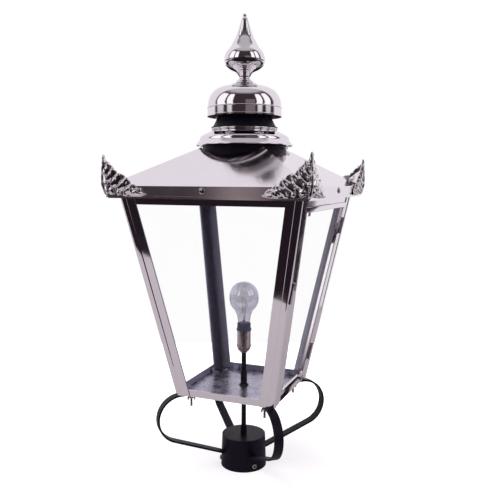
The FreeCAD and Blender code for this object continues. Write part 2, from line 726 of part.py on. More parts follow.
def base_frame():
    """Folded square frame: four sides with a flange turned in under the floor."""
    shell = square("base_frame_outer", S.body_bottom, S.sill_top, S.rail_inset)
    space = square("base_frame_space", S.floor_bottom, S.sill_top + 1, S.rail_inset + S.sheet)
    inside = S.body_foot - S.sill_flange
    window = box("base_frame_window", (-inside, inside), (-inside, inside),
                 (S.body_bottom - 1, S.floor_bottom + 1))
    holes = bolt_holes("base_frame")
    cut("base_frame", shell, space, window, *holes)


def bolt_holes(name):
    """Clearance holes on the bolt circle, through base frame and floor."""
    holes = []
    for corner, quarter in CORNERS.items():
        way = S.base_turn + quarter - 45
        holes.append(cylinder(f"{name}_hole_{corner}", S.bolt_radius + S.fit, S.body_bottom - 1,
                              S.floor_top + 1,
                              S.bolt_circle * cosine(way), S.bolt_circle * sine(way)))
    return holes


def floor_pan():
    """Polished floor sheet that lies on the flange of the base frame."""
    low, high = S.floor_bottom, S.floor_top
    plate = square("floor_plate", low, high, S.glass_inset)
    hole = cylinder("floor_stem_hole", S.grommet_hole, low - 1, high + 1)
    cut("floor_pan", plate, hole, *bolt_holes("floor"))


# ---------------------------------------------------------------- corner posts and top frame

def post_section(level):
    """Level section of the front right post: flanges on both faces and the raised corner bead."""
    w = half(level)
    edge = w - S.post_flange
    step = w - S.bead_width
    face = w - S.bead_proud
    back = face - S.sheet
    front_side = [
        (edge, -back),
        (edge, -face),
        (step - S.bead_proud, -face),
        (step, -w),
        (w - S.bead_round, -w),
    ]
    right_side = [
        (w, -(w - S.bead_round), S.bead_round),
        (w, -step),
        (face, -(step - S.bead_proud)),
        (face, -edge),
        (back, -edge),
        (back, -back),
    ]
    return front_side + right_side


def hem_section(level):
    """The folded glazing edges behind the two flanges."""
    w = half(level)
    edge = w - S.post_flange
    back = w - S.bead_proud - S.sheet
    depth = w - S.glass_inset + S.fit
    return [(edge, -back), (edge + S.hem_width, -back), (edge + S.hem_width, -depth), (edge, -depth)]


def corner_posts():
    """Four folded corner posts with a round edged bead outside and a glazing hem inside."""
    lean = (S.body_lean, -S.body_lean)
    top = S.shelf_level - S.fit
    low = S.sill_top + S.fit
    high = S.head_bottom - S.fit
    for name, quarter in CORNERS.items():
        body = new_body(f"corner_post_{name}_section" if name == LATCH_CORNER else f"corner_post_{name}")
        sketch = new_sketch(body, f"post_{name}_section", "XY_Plane", S.body_bottom)
        outline(sketch, post_section(S.body_bottom))
        pad(body, sketch, top - S.body_bottom, lean)
        front = new_sketch(body, f"post_{name}_hem_a", "XY_Plane", low)
        outline(front, hem_section(low))
        pad(body, front, high - low, lean)
        side = new_sketch(body, f"post_{name}_hem_b", "XY_Plane", low)
        outline(side, [(-size(y), -size(x)) for x, y in hem_section(low)])
        pad(body, side, high - low, lean)
        if name == LATCH_CORNER:
            cut(f"corner_post_{name}", body, latch_post_hole())
        turned(body, Z_AXIS, quarter)


def top_frame():
    """Folded square frame: head rail, shelf under the roof and upstand for the fascia screws."""
    inner_half = S.eave_half - S.roof_sheet - S.fit
    rail = square("top_rail", S.head_bottom, S.shelf_level, S.rail_inset)
    rail_space = square("top_rail_space", S.head_bottom - 1, S.shelf_level + 1, S.rail_inset + S.sheet)
    shelf = box("top_shelf", (-inner_half, inner_half), (-inner_half, inner_half),
                (S.shelf_level, S.top_upstand))
    inside = inner_half - S.sheet
    tray = box("top_tray", (-inside, inside), (-inside, inside), (S.shelf_top, S.top_upstand + 1))
    window_half = half(S.shelf_level) - S.rail_inset - S.sheet
    window = box("top_window", (-window_half, window_half), (-window_half, window_half),
                 (S.shelf_level - 1, S.top_upstand + 1))
    screws = [spoke(f"top_screw_hole_{i}", S.fascia_screw_shank + S.fit, inside - 3, inner_half + 3,
                    S.fascia_screw_level, 90 * i) for i in range(4)]
    ring = cut("top_rail_ring", rail, rail_space)
    upper = cut("top_shelf_ring", shelf, tray, window, *screws)
    fuse("top_frame", ring, upper)


# ---------------------------------------------------------------- glazing

def pane(name, low, high, inset, side_inset):
    """A tapered sheet of glass in the front face."""
    foot, top = half(low), half(high)
    return frustum(name, low, high, (-(foot - side_inset), foot - side_inset),
                   (-(top - side_inset), top - side_inset),
                   (-(foot - inset), -(foot - inset - S.glass_gauge)),
                   (-(top - inset), -(top - inset - S.glass_gauge)))


FACES = {"front": 0, "right": 90, "back": 180, "left": 270}
FIXED_FACES = ("front", "back", "left")


def set_face(item, face):
    """Turn a piece made for the front face to its own face."""
    item.Placement = FreeCAD.Placement(Vector(), FreeCAD.Rotation(Z_AXIS, FACES[face])) * item.Placement
    return item


def glass_panes():
    """Three fixed panes that stand on the floor sheet behind the frames."""
    low = S.floor_top + S.fit
    high = S.shelf_level - 1
    for face in FIXED_FACES:
        name = f"glass_{face}"
        set_face(pane(name, low, high, S.glass_inset, S.glass_inset + S.glass_gauge + 1), face)


def glazing_clips():
    """Small folded clips that hold the panes against the frames, two below and two above."""
    pieces = []
    back = S.glass_inset + S.glass_gauge + S.fit
    floor = S.floor_top
    ceiling = S.shelf_level
    for face in FIXED_FACES:
        for side in (-1, 1):
            x = S.clip_spacing * side
            ends = (x - S.clip_width / 2, x + S.clip_width / 2)
            low, high = floor, floor + S.clip_height
            foot, top = half(low) - back, half(high) - back
            stand = frustum(f"clip_{face}_{side}_low_a", low, high, ends, ends,
                            (-foot, -(foot - S.clip_gauge)), (-top, -(top - S.clip_gauge)))
            tab = box(f"clip_{face}_{side}_low_b", ends, (-foot, -(foot - S.clip_width)),
                      (floor, floor + S.clip_gauge))
            pieces.append(set_face(fuse(f"clip_{face}_{side}_low", stand, tab), face))
            x = S.clip_spacing_head * side
            ends = (x - S.clip_width / 2, x + S.clip_width / 2)
            low, high = ceiling - S.clip_height, S.shelf_top
            foot, top = half(low) - back, half(high) - back
            hang = frustum(f"clip_{face}_{side}_high_a", low, high, ends, ends,
                           (-foot, -(foot - S.clip_gauge)), (-top, -(top - S.clip_gauge)))
            hook = box(f"clip_{face}_{side}_high_b", ends, (-(top + S.clip_width), -(top - S.clip_gauge)),
                       (S.shelf_top, S.shelf_top + S.clip_gauge))
            pieces.append(set_face(fuse(f"clip_{face}_{side}_high", hang, hook), face))
    group("glazing_clips", *pieces)


# ---------------------------------------------------------------- door

def door_block(name, low, high, border, depth_low, depth_high):
    """A tapered slab in the right face; borders are measured from the edge of the door."""
    foot, top = half(low), half(high)
    reach_foot = foot - S.post_flange - S.door_gap - border
    reach_top = top - S.post_flange - S.door_gap - border
    return frustum(name, low, high, (foot - depth_high, foot - depth_low),
                   (top - depth_high, top - depth_low),
                   (-reach_foot, reach_foot), (-reach_top, reach_top))


def door():
    """Glazed door: a flat frame with a rebate for the glass, and clips that hold it."""
    face = S.bead_proud
    back = face + S.door_depth
    rebate = face + S.door_lip
    block = door_block("door_block", S.door_bottom, S.door_top, 0, face, back)
    window = door_block("door_window", S.door_bottom + S.door_border, S.door_top - S.door_border,
                        S.door_border, face - 2, back + 2)
    seat_border = S.door_border - S.door_rebate
    seat = door_block("door_rebate", S.door_bottom + seat_border, S.door_top - seat_border, seat_border,
                      rebate, back + 2)
    cut("door_frame", block, window, seat)
    door_block("door_glass", S.door_bottom + seat_border + S.fit, S.door_top - seat_border - S.fit,
               seat_border + S.fit, rebate + S.fit, rebate + S.fit + S.glass_gauge)
    clips = []
    clip_low = rebate + 2 * S.fit + S.glass_gauge
    ends_of_door = {
        "low": (S.door_bottom + seat_border, S.clip_spacing),
        "high": (S.door_top - seat_border - S.clip_width, S.clip_spacing_door),
    }
    for name, (low, spacing) in ends_of_door.items():
        for side in (-1, 1):
            high = low + S.clip_width
            foot, top = half(low), half(high)
            y = spacing * side
            ends = (y - S.clip_width / 2, y + S.clip_width / 2)
            clips.append(frustum(f"door_clip_{name}_{side}", low + S.fit, high,
                                 (foot - clip_low - S.clip_gauge, foot - clip_low),
                                 (top - clip_low - S.clip_gauge, top - clip_low), ends, ends))
    group("door_glass_clips", *clips)


def slanted(item, x, y, z):
    """Stand a piece made along Z on the slant of the back right corner."""
    turned(item, Vector(-1, 1, 0), slope_angle(S.body_lean * math.sqrt(2)))
    return place(item, x, y, z)


HINGE_OUT = S.knuckle_radius - S.bead_proud + 0.1
HINGE_IN = S.post_flange + S.door_gap / 2


def hinge_axis(level):
    """Point of the hinge line at a level."""
    return half(level) + HINGE_OUT, half(level) - HINGE_IN, size(level)


def barrel(name, radius, low, high):
    """A round piece on the hinge line between two levels."""
    item = doc.addObject("Part::Cylinder", name)
    bind(item, "Radius", radius)
    stretch = root(1 + 2 * S.body_lean * S.body_lean)
    bind(item, "Height", (size(high) - low) * stretch)
    return slanted(item, *hinge_axis(low))


def leaf(name, low, high, near, far):
    """A hinge leaf on the right face, from near to far of the hinge line along +Y."""
    foot, top = half(low), half(high)
    base_foot = foot - HINGE_IN
    base_top = top - HINGE_IN
    return frustum(name, low, high, (foot - S.bead_proud, foot - S.bead_proud + S.leaf_gauge),
                   (top - S.bead_proud, top - S.bead_proud + S.leaf_gauge),
                   (base_foot + near, base_foot + far), (base_top + near, base_top + far))


def hinge_half(name, level, knuckles, side):
    """One leaf of a butt hinge with its knuckles, bored for the pin."""
    half_height = S.knuckle_length * 1.5
    low, high = level - half_height, level + half_height
    pieces = []
    for number in knuckles:
        foot = low + S.knuckle_length * number + S.knuckle_gap / 2
        top = low + S.knuckle_length * (number + 1) - S.knuckle_gap / 2
        inner = barrel(f"{name}_knuckle_{number}", S.knuckle_radius, foot, top)
        web = leaf(f"{name}_web_{number}", foot + 1, top - 1, *sorted_pair(side, 0, S.knuckle_radius + 1))
        pieces += [inner, web]
    pieces.append(leaf(f"{name}_leaf", low, high, *sorted_pair(side, S.knuckle_radius + 0.5, S.leaf_width)))
    hole = barrel(f"{name}_bore", S.pin_radius + S.pin_play, low - 2, high + 2)
    return cut(name, fuse(f"{name}_solid", *pieces), hole)


def sorted_pair(side, near, far):
    return (near, far) if side > 0 else (-size(far), -size(near))


def door_hinges():
    """Two butt hinges on the back right corner; their pins stay in the post leaves."""
    levels = {"low": S.hinge_low, "high": S.hinge_high}
    half_height = S.knuckle_length * 1.5
    group("hinge_post_leaves", *[hinge_half(f"post_leaf_{n}", z, (0, 2), 1) for n, z in levels.items()])
    group("hinge_door_leaves", *[hinge_half(f"door_leaf_{n}", z, (1,), -1) for n, z in levels.items()])
    pins = []
    for name, level in levels.items():
        shank = barrel(f"pin_{name}_shank", S.pin_radius, level - half_height, level + half_height + 1)
        rest = level + half_height + S.fit
        head = barrel(f"pin_{name}_head", S.knuckle_radius, rest, rest + S.pin_head)
        pins.append(fuse(f"pin_{name}", shank, head))
    group("hinge_pins", *pins)


def latch_placed(item):
    """Put a piece made about the origin, outward along X, at the latch pivot on the right face."""
    turned(item, Vector(0, 1, 0), slope_angle(S.body_lean))
    w = half(S.latch_level)
    return place(item, w, -(w - S.latch_inset), S.latch_level)


def along_x(name, radius, low, high):
    item = doc.addObject("Part::Cylinder", name)
    bind(item, "Radius", radius)
    bind(item, "Height", size(high) - low)
    return place(turned(item, Vector(0, 1, 0), 90), low)


def latch_post_hole():
    bore = along_x("latch_post_bore", S.latch_pin + S.pin_play, -S.bead_width, 1)
    return latch_placed(group("latch_post_hole", bore))


def latch():
    """Turn bar on the front right post: it hangs free, or lies across the edge of the door."""
    low, high = S.latch_gap, S.latch_gap + S.latch_gauge
    bar = box("latch_bar_flat", (low, high), (-S.latch_width / 2, S.latch_width / 2),
              (-S.latch_length, 0))
    eye = along_x("latch_eye", S.latch_width / 2, low, high)
    hole = along_x("latch_hole", S.latch_pin + S.pin_play, low - 1, high + 1)
    latch_placed(cut("latch_bar", fuse("latch_bar_solid", bar, eye), hole))
    shank = along_x("latch_shank", S.latch_pin, -S.bead_proud - S.sheet, high + 1)
    rest = high + S.knuckle_gap
    knob = along_x("latch_head", S.latch_knob, rest, rest + S.latch_knob_height)
    latch_placed(fuse("latch_pivot", shank, knob))


def door_stop():
    """Strip inside the front right post that the free edge of the door closes against."""
    low, high = S.door_bottom + S.stop_end, S.door_top - S.stop_end
    foot, top = half(low), half(high)
    back = S.bead_proud + S.door_depth + S.stop_gap
    hem = S.glass_inset - S.fit
    near = S.post_flange - S.stop_reach
    far = S.post_flange + S.stop_reach
    wall = near - S.clip_gauge
    flat = frustum("door_stop_flat", low, high,
                   (foot - back - S.clip_gauge, foot - back), (top - back - S.clip_gauge, top - back),
                   (-(foot - near), -(foot - far)), (-(top - near), -(top - far)))
    web = frustum("door_stop_web", low, high, (foot - back - S.clip_gauge, foot - hem),
                  (top - back - S.clip_gauge, top - hem),
                  (-(foot - wall), -(foot - near)), (-(top - wall), -(top - near)))
    fuse("door_stop", flat, web)


# ---------------------------------------------------------------- roof

def roof_shell():
    """Sheet roof: low pyramid, upright fascia and a rolled lip, open at the top for the collar."""
    e, t = S.eave_half, S.roof_sheet
    rise = tangent(S.roof_pitch)
    c = S.roof_crown_half
    peak = S.fascia_top + (e - c) * rise
    skin = frustum("roof_skin", S.fascia_top, peak, (-e, e), (-c, c), (-e, e), (-c, c))
    inner = e - t
    drop = t / cosine(S.roof_pitch)
    core = frustum("roof_core", S.fascia_top - drop + t * rise, peak - drop,
                   (-inner, inner), (-c, c), (-inner, inner), (-c, c))
    fascia = box("roof_fascia", (-e, e), (-e, e), (S.fascia_bottom, S.fascia_top))
    lip_half = e + S.eave_lip
    lip = box("roof_lip", (-lip_half, lip_half), (-lip_half, lip_half),
              (S.fascia_bottom, S.fascia_bottom + S.eave_lip_height))
    space = box("roof_space", (-inner, inner), (-inner, inner),
                (S.fascia_bottom - 1, S.fascia_top - drop + t * rise))
    throat = cylinder("roof_throat", S.throat_radius + S.fit, S.fascia_bottom, peak + 20)
    screws = [spoke(f"roof_screw_hole_{i}", S.fascia_screw_shank + S.fit, inner - 3, lip_half + 3,
                    S.fascia_screw_level, 90 * i) for i in range(4)]
    cut("roof_shell", fuse("roof_solid", skin, fascia, lip), core, space, throat, *screws)


def fascia_screws():
    """Round headed screws, one in the middle of each fascia."""
    pieces = []
    for i in range(4):
        shank = spoke(f"fascia_screw_{i}_shank", S.fascia_screw_shank, S.eave_half - S.fascia_screw_length,
                      S.eave_half + 1, S.fascia_screw_level, 90 * i)
        head = spoke(f"fascia_screw_{i}_head", S.fascia_screw_head, S.eave_half,
                     S.eave_half + S.fascia_screw_proud, S.fascia_screw_level, 90 * i)
        pieces.append(fuse(f"fascia_screw_{i}", shank, head))
    group("fascia_screws", *pieces)


def ornament_outline(edge):
    """Face view of one wing of a corner ornament; edge is the outer corner of the casting."""
    tip, low = S.leaf_tip, S.leaf_bottom
    w, h = S.leaf_span, S.leaf_height
    return [
        (edge, low),
        (edge, tip - h * 0.15),
        (edge - w * 0.02, tip, h * 0.75),
        (edge - w * 0.14, tip - h * 0.175, h * 0.33),
        (edge - w * 0.26, tip - h * 0.315, h * 0.115),
        (edge - w * 0.37, tip - h * 0.43, h * 0.1),
        (edge - w * 0.575, tip - h * 0.54, h * 0.15),
        (edge - w * 0.695, tip - h * 0.69, h * 0.125),
        (edge - w * 0.85, tip - h * 0.78, h * 0.115),
        (edge - w, tip - h * 0.92, h * 0.14),
        (edge - w * 0.935, low, h * 0.09),
    ]


ORNAMENT_BOSSES = ((0.61, 0.165, 0.085), (0.835, 0.09, 0.063), (0.413, 0.25, 0.082), (0.217, 0.43, 0.07))


def corner_ornaments():
    """Cast leaf ornaments that wrap the four corners of the eaves."""
    plate = S.eave_half + S.eave_lip + S.fit
    edge = plate + S.leaf_base
    for name, quarter in CORNERS.items():
        body = new_body(f"corner_ornament_{name}")
        front = new_sketch(body, f"ornament_{name}_front", "XZ_Plane", plate)
        outline(front, ornament_outline(edge))
        pad(body, front, S.leaf_base)
        side = new_sketch(body, f"ornament_{name}_side", "YZ_Plane", plate)
        outline(side, mirrored(ornament_outline(edge)))
        pad(body, side, S.leaf_base)
        for role, sign in (("XZ_Plane", 1), ("YZ_Plane", -1)):
            bosses = new_sketch(body, f"ornament_{name}_{role}_bosses", role, edge)
            for along, up, share in ORNAMENT_BOSSES:
                x = (edge - S.leaf_span * along) * sign
                y = S.leaf_bottom + S.leaf_height * up
                radius = S.leaf_height * share
                circle = Part.Circle(Vector(x.value, y.value, 0), Z_AXIS, radius.value)
                index = bosses.addGeometry(circle, False)
                rules = bosses.addConstraint([
                    Sketcher.Constraint("DistanceX", -1, 1, index, 3, x.value),
                    Sketcher.Constraint("DistanceY", -1, 1, index, 3, y.value),
                    Sketcher.Constraint("Radius", index, radius.value)])
                for rule, value in zip(rules, (x, y, radius)):
                    bosses.setExpression(f"Constraints[{rule}]", value.text)
            pad(body, bosses, S.leaf_relief)
        turned(body, Z_AXIS, quarter)


def roof_collar():
    """Sheet ring that rises through the roof and carries the skirt."""
    tube("roof_collar", S.throat_radius, S.throat_radius - S.roof_sheet, S.throat_bottom,
         S.skirt_bottom + S.collar_seat)


# ---------------------------------------------------------------- chimney, crown and finial

def skirt():
    """Spun skirt: flat ledge, small bead and a flared rim."""
    t = S.spun
    rim, low, top, ledge = S.skirt_rim, S.skirt_bottom, S.skirt_top, S.skirt_ledge
    lathe("chimney_skirt", [
        (S.vent_cap, top - t),
        (S.vent_cap, top),
        (ledge - 2, top),
        (ledge, top - 2, -2),
        (ledge - 1, top - 5),
        (ledge + 4, top - 7.5, 6),
        (ledge + 14, top - 15.5, -30),
        (rim - 2, low + 4, -42),
        (rim, low + 2, -4),
        (rim, low),
        (rim - t, low),
        (rim - t, low + 2),
        (rim - 2 - t, low + 4 - t / 2, 3),
        (ledge + 14 - t * 0.8, top - 15.5 - t * 0.9, 41),
        (ledge + 4 - t * 0.5, top - 7.5 - t, 29),
        (ledge - 2 - t, top - 5 - t, -7),
        (ledge - 2 - t, top - t),
    ])


def vent_gallery():
    """Conical vent ring between skirt and crown, pierced and closed by a flat top."""
    t = S.spun
    foot, cap, low, top = S.vent_foot, S.vent_cap, S.skirt_top, S.vent_top
    ring = lathe("vent_gallery_ring", [
        (foot + S.vent_flange, low),
        (foot + S.vent_flange, low + t),
        (foot, low + t),
        (cap, top),
        (S.rod_hole, top),
        (S.rod_hole, top - t),
        (cap - t, top - t),
        (foot - t, low),
    ])
    count = 16
    level = (low + top) / 2 + S.vent_hole_rise
    holes = [spoke(f"vent_hole_{i}", S.vent_hole, cap - 8, foot + 8, level, 360 / count * i)
             for i in range(count)]
    cut("vent_gallery", ring, *holes)


def crown():
    """Spun crown dome with a step above its rim."""
    t = S.spun
    rim, low, step, top = S.crown_rim, S.crown_bottom, S.crown_step, S.crown_top
    flat = S.finial_foot
    lathe("crown_dome", [
        (rim - t, low),
        (rim, low),
        (rim, step - 1.2),
        (rim - 1.4, step),
        (rim - 13, step + 31, 40),
        (flat + 4, top - 0.4, 46),
        (flat, top, 20),
        (S.rod_hole, top),
        (S.rod_hole, top - t),
        (flat, top - t),
        (flat + 4 - t * 0.2, top - 0.4 - t, -20),
        (rim - 13 - t * 0.6, step + 31 - t * 0.8, -45),
        (rim - 1.4 - t, step - t * 0.5, -39),
        (rim - t, step - 1.2 - t),
    ])
    tube("crown_spacer", S.rod_hole + S.spacer_wall, S.rod_hole, S.vent_top, top - t)


def finial():
    """Turned finial: foot, neck, bowl and a long tapering point."""
    foot, neck, belly = S.finial_foot, S.finial_neck, S.finial_belly
    base, level, tip, knob = S.crown_top, S.finial_belly_level, S.finial_tip, S.finial_knob
    rise = knob * 0.55
    point = S.finial_point
    lathe("finial", [
        (S.rod_hole, base),
        (foot, base),
        (foot, base + 2.5, 1.5),
        (foot - 4, base + 5, 6),
        (neck + 7, base + 8, -12),
        (neck + 5.5, base + 10.5, 3),
        (neck, base + 17, -8),
        (neck + 2, base + 21.5, -9),
        (neck + 10, level - 21, -14),
        (belly - 5.5, level - 12.5, 40),
        (belly - 0.8, level - 3, 14),
        (belly, level, 3),
        (belly - 0.8, level + 3, 3),
        (belly - 13, level + point * 0.275, -point * 0.88),
        (belly - 24, level + point * 0.5275, -point),
        (knob, tip - point * 0.1, -point * 1.32),
        (knob, tip - rise),
        (0, tip, (knob * knob + rise * rise) / (2 * rise)),
        (0, base + S.finial_bore),
        (S.rod_hole, base + S.finial_bore),
    ])


def tie_rod():
    """Rod that pulls finial, crown, vent ring and skirt down onto the collar."""
    cylinder("tie_rod", S.rod_radius, S.rod_end, S.crown_top + S.finial_bore - 1)
    reach = S.throat_radius - S.roof_sheet - S.fit
    bar = box("bridge_flat", (-reach, reach), (-S.bridge_width / 2, S.bridge_width / 2),
              (S.bridge_level, S.bridge_level + S.bridge_gauge))
    bore = cylinder("bridge_inside", reach, S.bridge_level - 1, S.bridge_level + S.bridge_gauge + 1)
    hole = cylinder("bridge_hole", S.rod_hole, S.bridge_level - 1, S.bridge_level + S.bridge_gauge + 1)
    trimmed = doc.addObject("Part::Common", "bridge_trimmed")
    trimmed.Base = bar
    trimmed.Tool = bore
    cut("bridge_bar", trimmed, hole)
    nut = doc.addObject("Part::Prism", "tie_rod_nut_hex")
    nut.Polygon = 6
    bind(nut, "Circumradius", S.rod_radius * 1.9)
    bind(nut, "Height", S.rod_radius * 1.6)
    place(nut, 0, 0, S.bridge_level - S.rod_radius * 1.6)
    cut("tie_rod_nut", nut, cylinder("tie_rod_nut_hole", S.rod_radius + S.pin_play, S.rod_end,
                                 S.bridge_level + 1))


# ---------------------------------------------------------------- lamp

def lampholder():
    """Bayonet lampholder: lower cap, barrel, insulator with two contacts, and a shade ring."""
    bulge, radius, wall = S.holder_bulge, S.holder_radius, S.holder_wall
    low, seam, top = S.holder_bottom, S.holder_seam, S.holder_top
    lathe("lampholder_cap", [
        (S.stem_hole, low),
        (S.stem_radius + 2.5, low),
        (S.stem_radius + 3.4, low + 2),
        (bulge - 0.6, seam - 3, 16),
        (bulge, seam - 1.4, 2),
        (bulge, seam + 1.4),
        (bulge - wall, seam + 1.4),
        (bulge - wall, seam - 1),
        (S.stem_radius + 4, low + 5, -18),
        (S.stem_hole, low + 5),
    ])
    barrel_outer = cylinder("barrel_outer", radius, seam + 0.2, top)
    barrel_inner = cylinder("barrel_inner", radius - wall, seam - 1, top + 1)
    cut("lampholder_barrel", barrel_outer, barrel_inner)
    face = S.bulb_cap_bottom - S.contact_height - 0.5
    block = cylinder("insulator_block", radius - wall - 0.1, seam + 0.3, face)
    neck = tube("insulator_neck", S.stem_radius + 3, S.stem_hole, low + 5.2, seam + 0.3)
    fuse("lampholder_insulator", block, neck)
    pins = [cylinder(f"contact_{side}", S.contact_radius, face, face + S.contact_height,
                     S.contact_offset * side) for side in (-1, 1)]
    group("lamp_contacts", *pins)
    ring = S.ring_radius
    lathe("shade_ring", [
        (radius + 0.1, top - S.ring_skirt),
        (ring + 0.6, top - S.ring_skirt),
        (ring + 0.6, top - 2),
        (ring - 0.8, top),
        (ring - 0.8, S.ring_top - 1),
        (ring - 1.2, S.ring_top),
        (radius - 0.2, S.ring_top),
        (radius - 0.2, top + 0.1),
        (radius + 0.1, top + 0.1),
    ])


def bulb():
    """Clear lamp: round glass on a bayonet cap, with its filament on two wires."""
    r, c, w = S.bulb_radius, S.bulb_centre, S.bulb_wall
    neck, level = S.bulb_neck, S.bulb_neck_level
    cap = S.bulb_cap_radius
    shoulder = level + 24
    lathe("bulb_glass", [
        (cap - 1.2, S.ring_top - 6),
        (cap + 0.2, S.ring_top - 6),
        (cap + 0.8, S.ring_top + 1),
        (neck, level, -20),
        (neck + 6.6, shoulder, -50),
        (r, c, 31),
        (0, c + r, r),
        (0, c + r - w),
        (r - w, c, -(r - w)),
        (neck + 6.6 - w, shoulder, -30),
        (neck - w, level, 51),
        (cap - 0.2, S.ring_top + 1, 21),
    ])
    shell = cylinder("bulb_cap_shell", cap, S.bulb_cap_bottom, S.ring_top - 6.3)
    space = cylinder("bulb_cap_space", cap - 1.0, S.bulb_cap_bottom + 3, S.ring_top)
    pins = [spoke(f"bulb_cap_pin_{side}", S.bulb_pin, cap - 0.5, S.holder_radius - S.holder_wall - S.fit,
                  S.bulb_cap_bottom + S.bulb_pin_rise, 180 * side) for side in (0, 1)]
    fuse("bulb_cap", cut("bulb_cap_cup", shell, space), *pins)
    stand = cone("mount_stem", 5.5, 2.6, S.bulb_cap_bottom + 3.2, level + 22)
    pieces = [stand]
    for side in (-1, 1):
        wire = doc.addObject("Part::Cylinder", f"mount_wire_{side}")
        wire.Radius = 0.5
        wire.Height = 32
        turned(wire, Vector(0, 1, 0), 18 * side)
        pieces.append(place(wire, 1.6 * side, 0, level + 20))
    coil = doc.addObject("Part::Cylinder", "filament_coil")
    coil.Radius = 0.9
    coil.Height = 23
    turned(coil, Vector(0, 1, 0), 90)
    place(coil, -11.5, 0, level + 50.2)
    pieces.append(coil)
    fuse("bulb_filament", *pieces)


# ---------------------------------------------------------------- build and write

def build():
    post_socket()
    socket_set_screws()
    leg_straps()
    leg_bolts()
    leg_washers()
    wing_nuts()
    stem()
    floor_grommet()
    base_frame()
    floor_pan()
    corner_posts()
    top_frame()
    glass_panes()
    glazing_clips()
    door()
    door_hinges()
    latch()
    door_stop()
    roof_shell()
    fascia_screws()
    corner_ornaments()
    roof_collar()
    skirt()
    vent_gallery()
    crown()
    finial()
    tie_rod()
    lampholder()
    bulb()


def is_top_level(item):
    """A finished sub-part is used by no other object."""
    holders = ("App::Part", "App::DocumentObjectGroup")
    return not [user for user in item.InList if user.TypeId not in holders]


def finished_parts():
    kinds = ("PartDesign::Body", "Part::")
    found = []
    for item in doc.Objects:
        if item.TypeId.startswith(kinds) and not item.TypeId.startswith("Part::Part2D"):
            if is_top_level(item):
                found.append(item)
    return found


build()
doc.recompute()
faults = [item.Name for item in doc.Objects if "Invalid" in item.State or "Error" in item.State]
if faults:
    raise RuntimeError(f"failed objects: {faults}")
parts = finished_parts()
for item in parts:
    if item.Shape.isNull() or not item.Shape.isValid():
        raise RuntimeError(f"bad shape: {item.Label}")
for item in parts:
    item.Shape.exportStep(f"parts/{item.Label}.step")
print(len(parts), "parts written")
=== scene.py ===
"""Square tapered post top lantern: polished metal and clear glass on a black steel base.

Metres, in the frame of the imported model: +Z up, the front faces -Y and the door faces +X.
"""
import math

import bmesh
import bpy
from mathutils import Matrix, Vector


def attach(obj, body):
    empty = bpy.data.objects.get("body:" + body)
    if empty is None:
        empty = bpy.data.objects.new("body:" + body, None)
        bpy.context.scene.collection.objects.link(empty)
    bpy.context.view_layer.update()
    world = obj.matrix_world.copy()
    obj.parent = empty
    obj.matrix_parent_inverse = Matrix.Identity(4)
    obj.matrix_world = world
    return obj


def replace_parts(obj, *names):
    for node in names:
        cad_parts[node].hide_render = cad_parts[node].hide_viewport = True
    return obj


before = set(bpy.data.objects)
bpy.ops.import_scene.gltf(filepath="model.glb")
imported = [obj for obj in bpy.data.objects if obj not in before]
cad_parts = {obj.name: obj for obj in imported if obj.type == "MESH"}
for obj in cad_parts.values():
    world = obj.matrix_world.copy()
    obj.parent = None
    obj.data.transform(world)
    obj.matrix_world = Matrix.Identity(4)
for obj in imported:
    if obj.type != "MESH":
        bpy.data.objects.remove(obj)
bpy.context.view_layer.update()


# ---- Viewpoint -------------------------------------------
# The photograph is taken from in front of the lantern, a little to its right and just
# above its middle. The place comes from the straight edges of the square body.

VIEW_DISTANCE = 1.3008
VIEW_HEIGHT = 0.6047
VIEW_BEARING = math.radians(22.29)
VIEW_HEADING = math.radians(21.76)
VIEW_PITCH = math.radians(6.39)
VIEW_ROLL = math.radians(0.21)
VIEW_LENS = 45.61

ahead = Vector((-math.sin(VIEW_HEADING) * math.cos(VIEW_PITCH),
                math.cos(VIEW_HEADING) * math.cos(VIEW_PITCH),
                -math.sin(VIEW_PITCH)))
level_right = Vector((math.cos(VIEW_HEADING), math.sin(VIEW_HEADING), 0))
level_up = level_right.cross(ahead)
view_right = level_right * math.cos(VIEW_ROLL) + level_up * math.sin(VIEW_ROLL)
view_up = level_up * math.cos(VIEW_ROLL) - level_right * math.sin(VIEW_ROLL)


def placed(name, data):
    """An object with this data, linked to the scene at the origin."""
    item = bpy.data.objects.new(name, data)
    bpy.context.scene.collection.objects.link(item)
    return item


viewpoint = bpy.data.cameras.new("viewpoint")
viewpoint.sensor_width = 36
viewpoint.lens = VIEW_LENS
viewpoint.clip_start = 0.01
camera = placed("viewpoint", viewpoint)
camera.matrix_world = (
    Matrix.Translation((VIEW_DISTANCE * math.sin(VIEW_BEARING),
                        -VIEW_DISTANCE * math.cos(VIEW_BEARING), VIEW_HEIGHT))
    @ Matrix((view_right, view_up, -ahead)).transposed().to_4x4())
bpy.context.scene.camera = camera
bpy.context.scene.view_settings.view_transform = "Standard"


# ---- Studio ----------------------------------------------
# A white table stands in a dark room with two pairs of tall soft boxes, a grey screen and a
# pale wall behind. The polished metal shows them; the camera sees only white round the object.

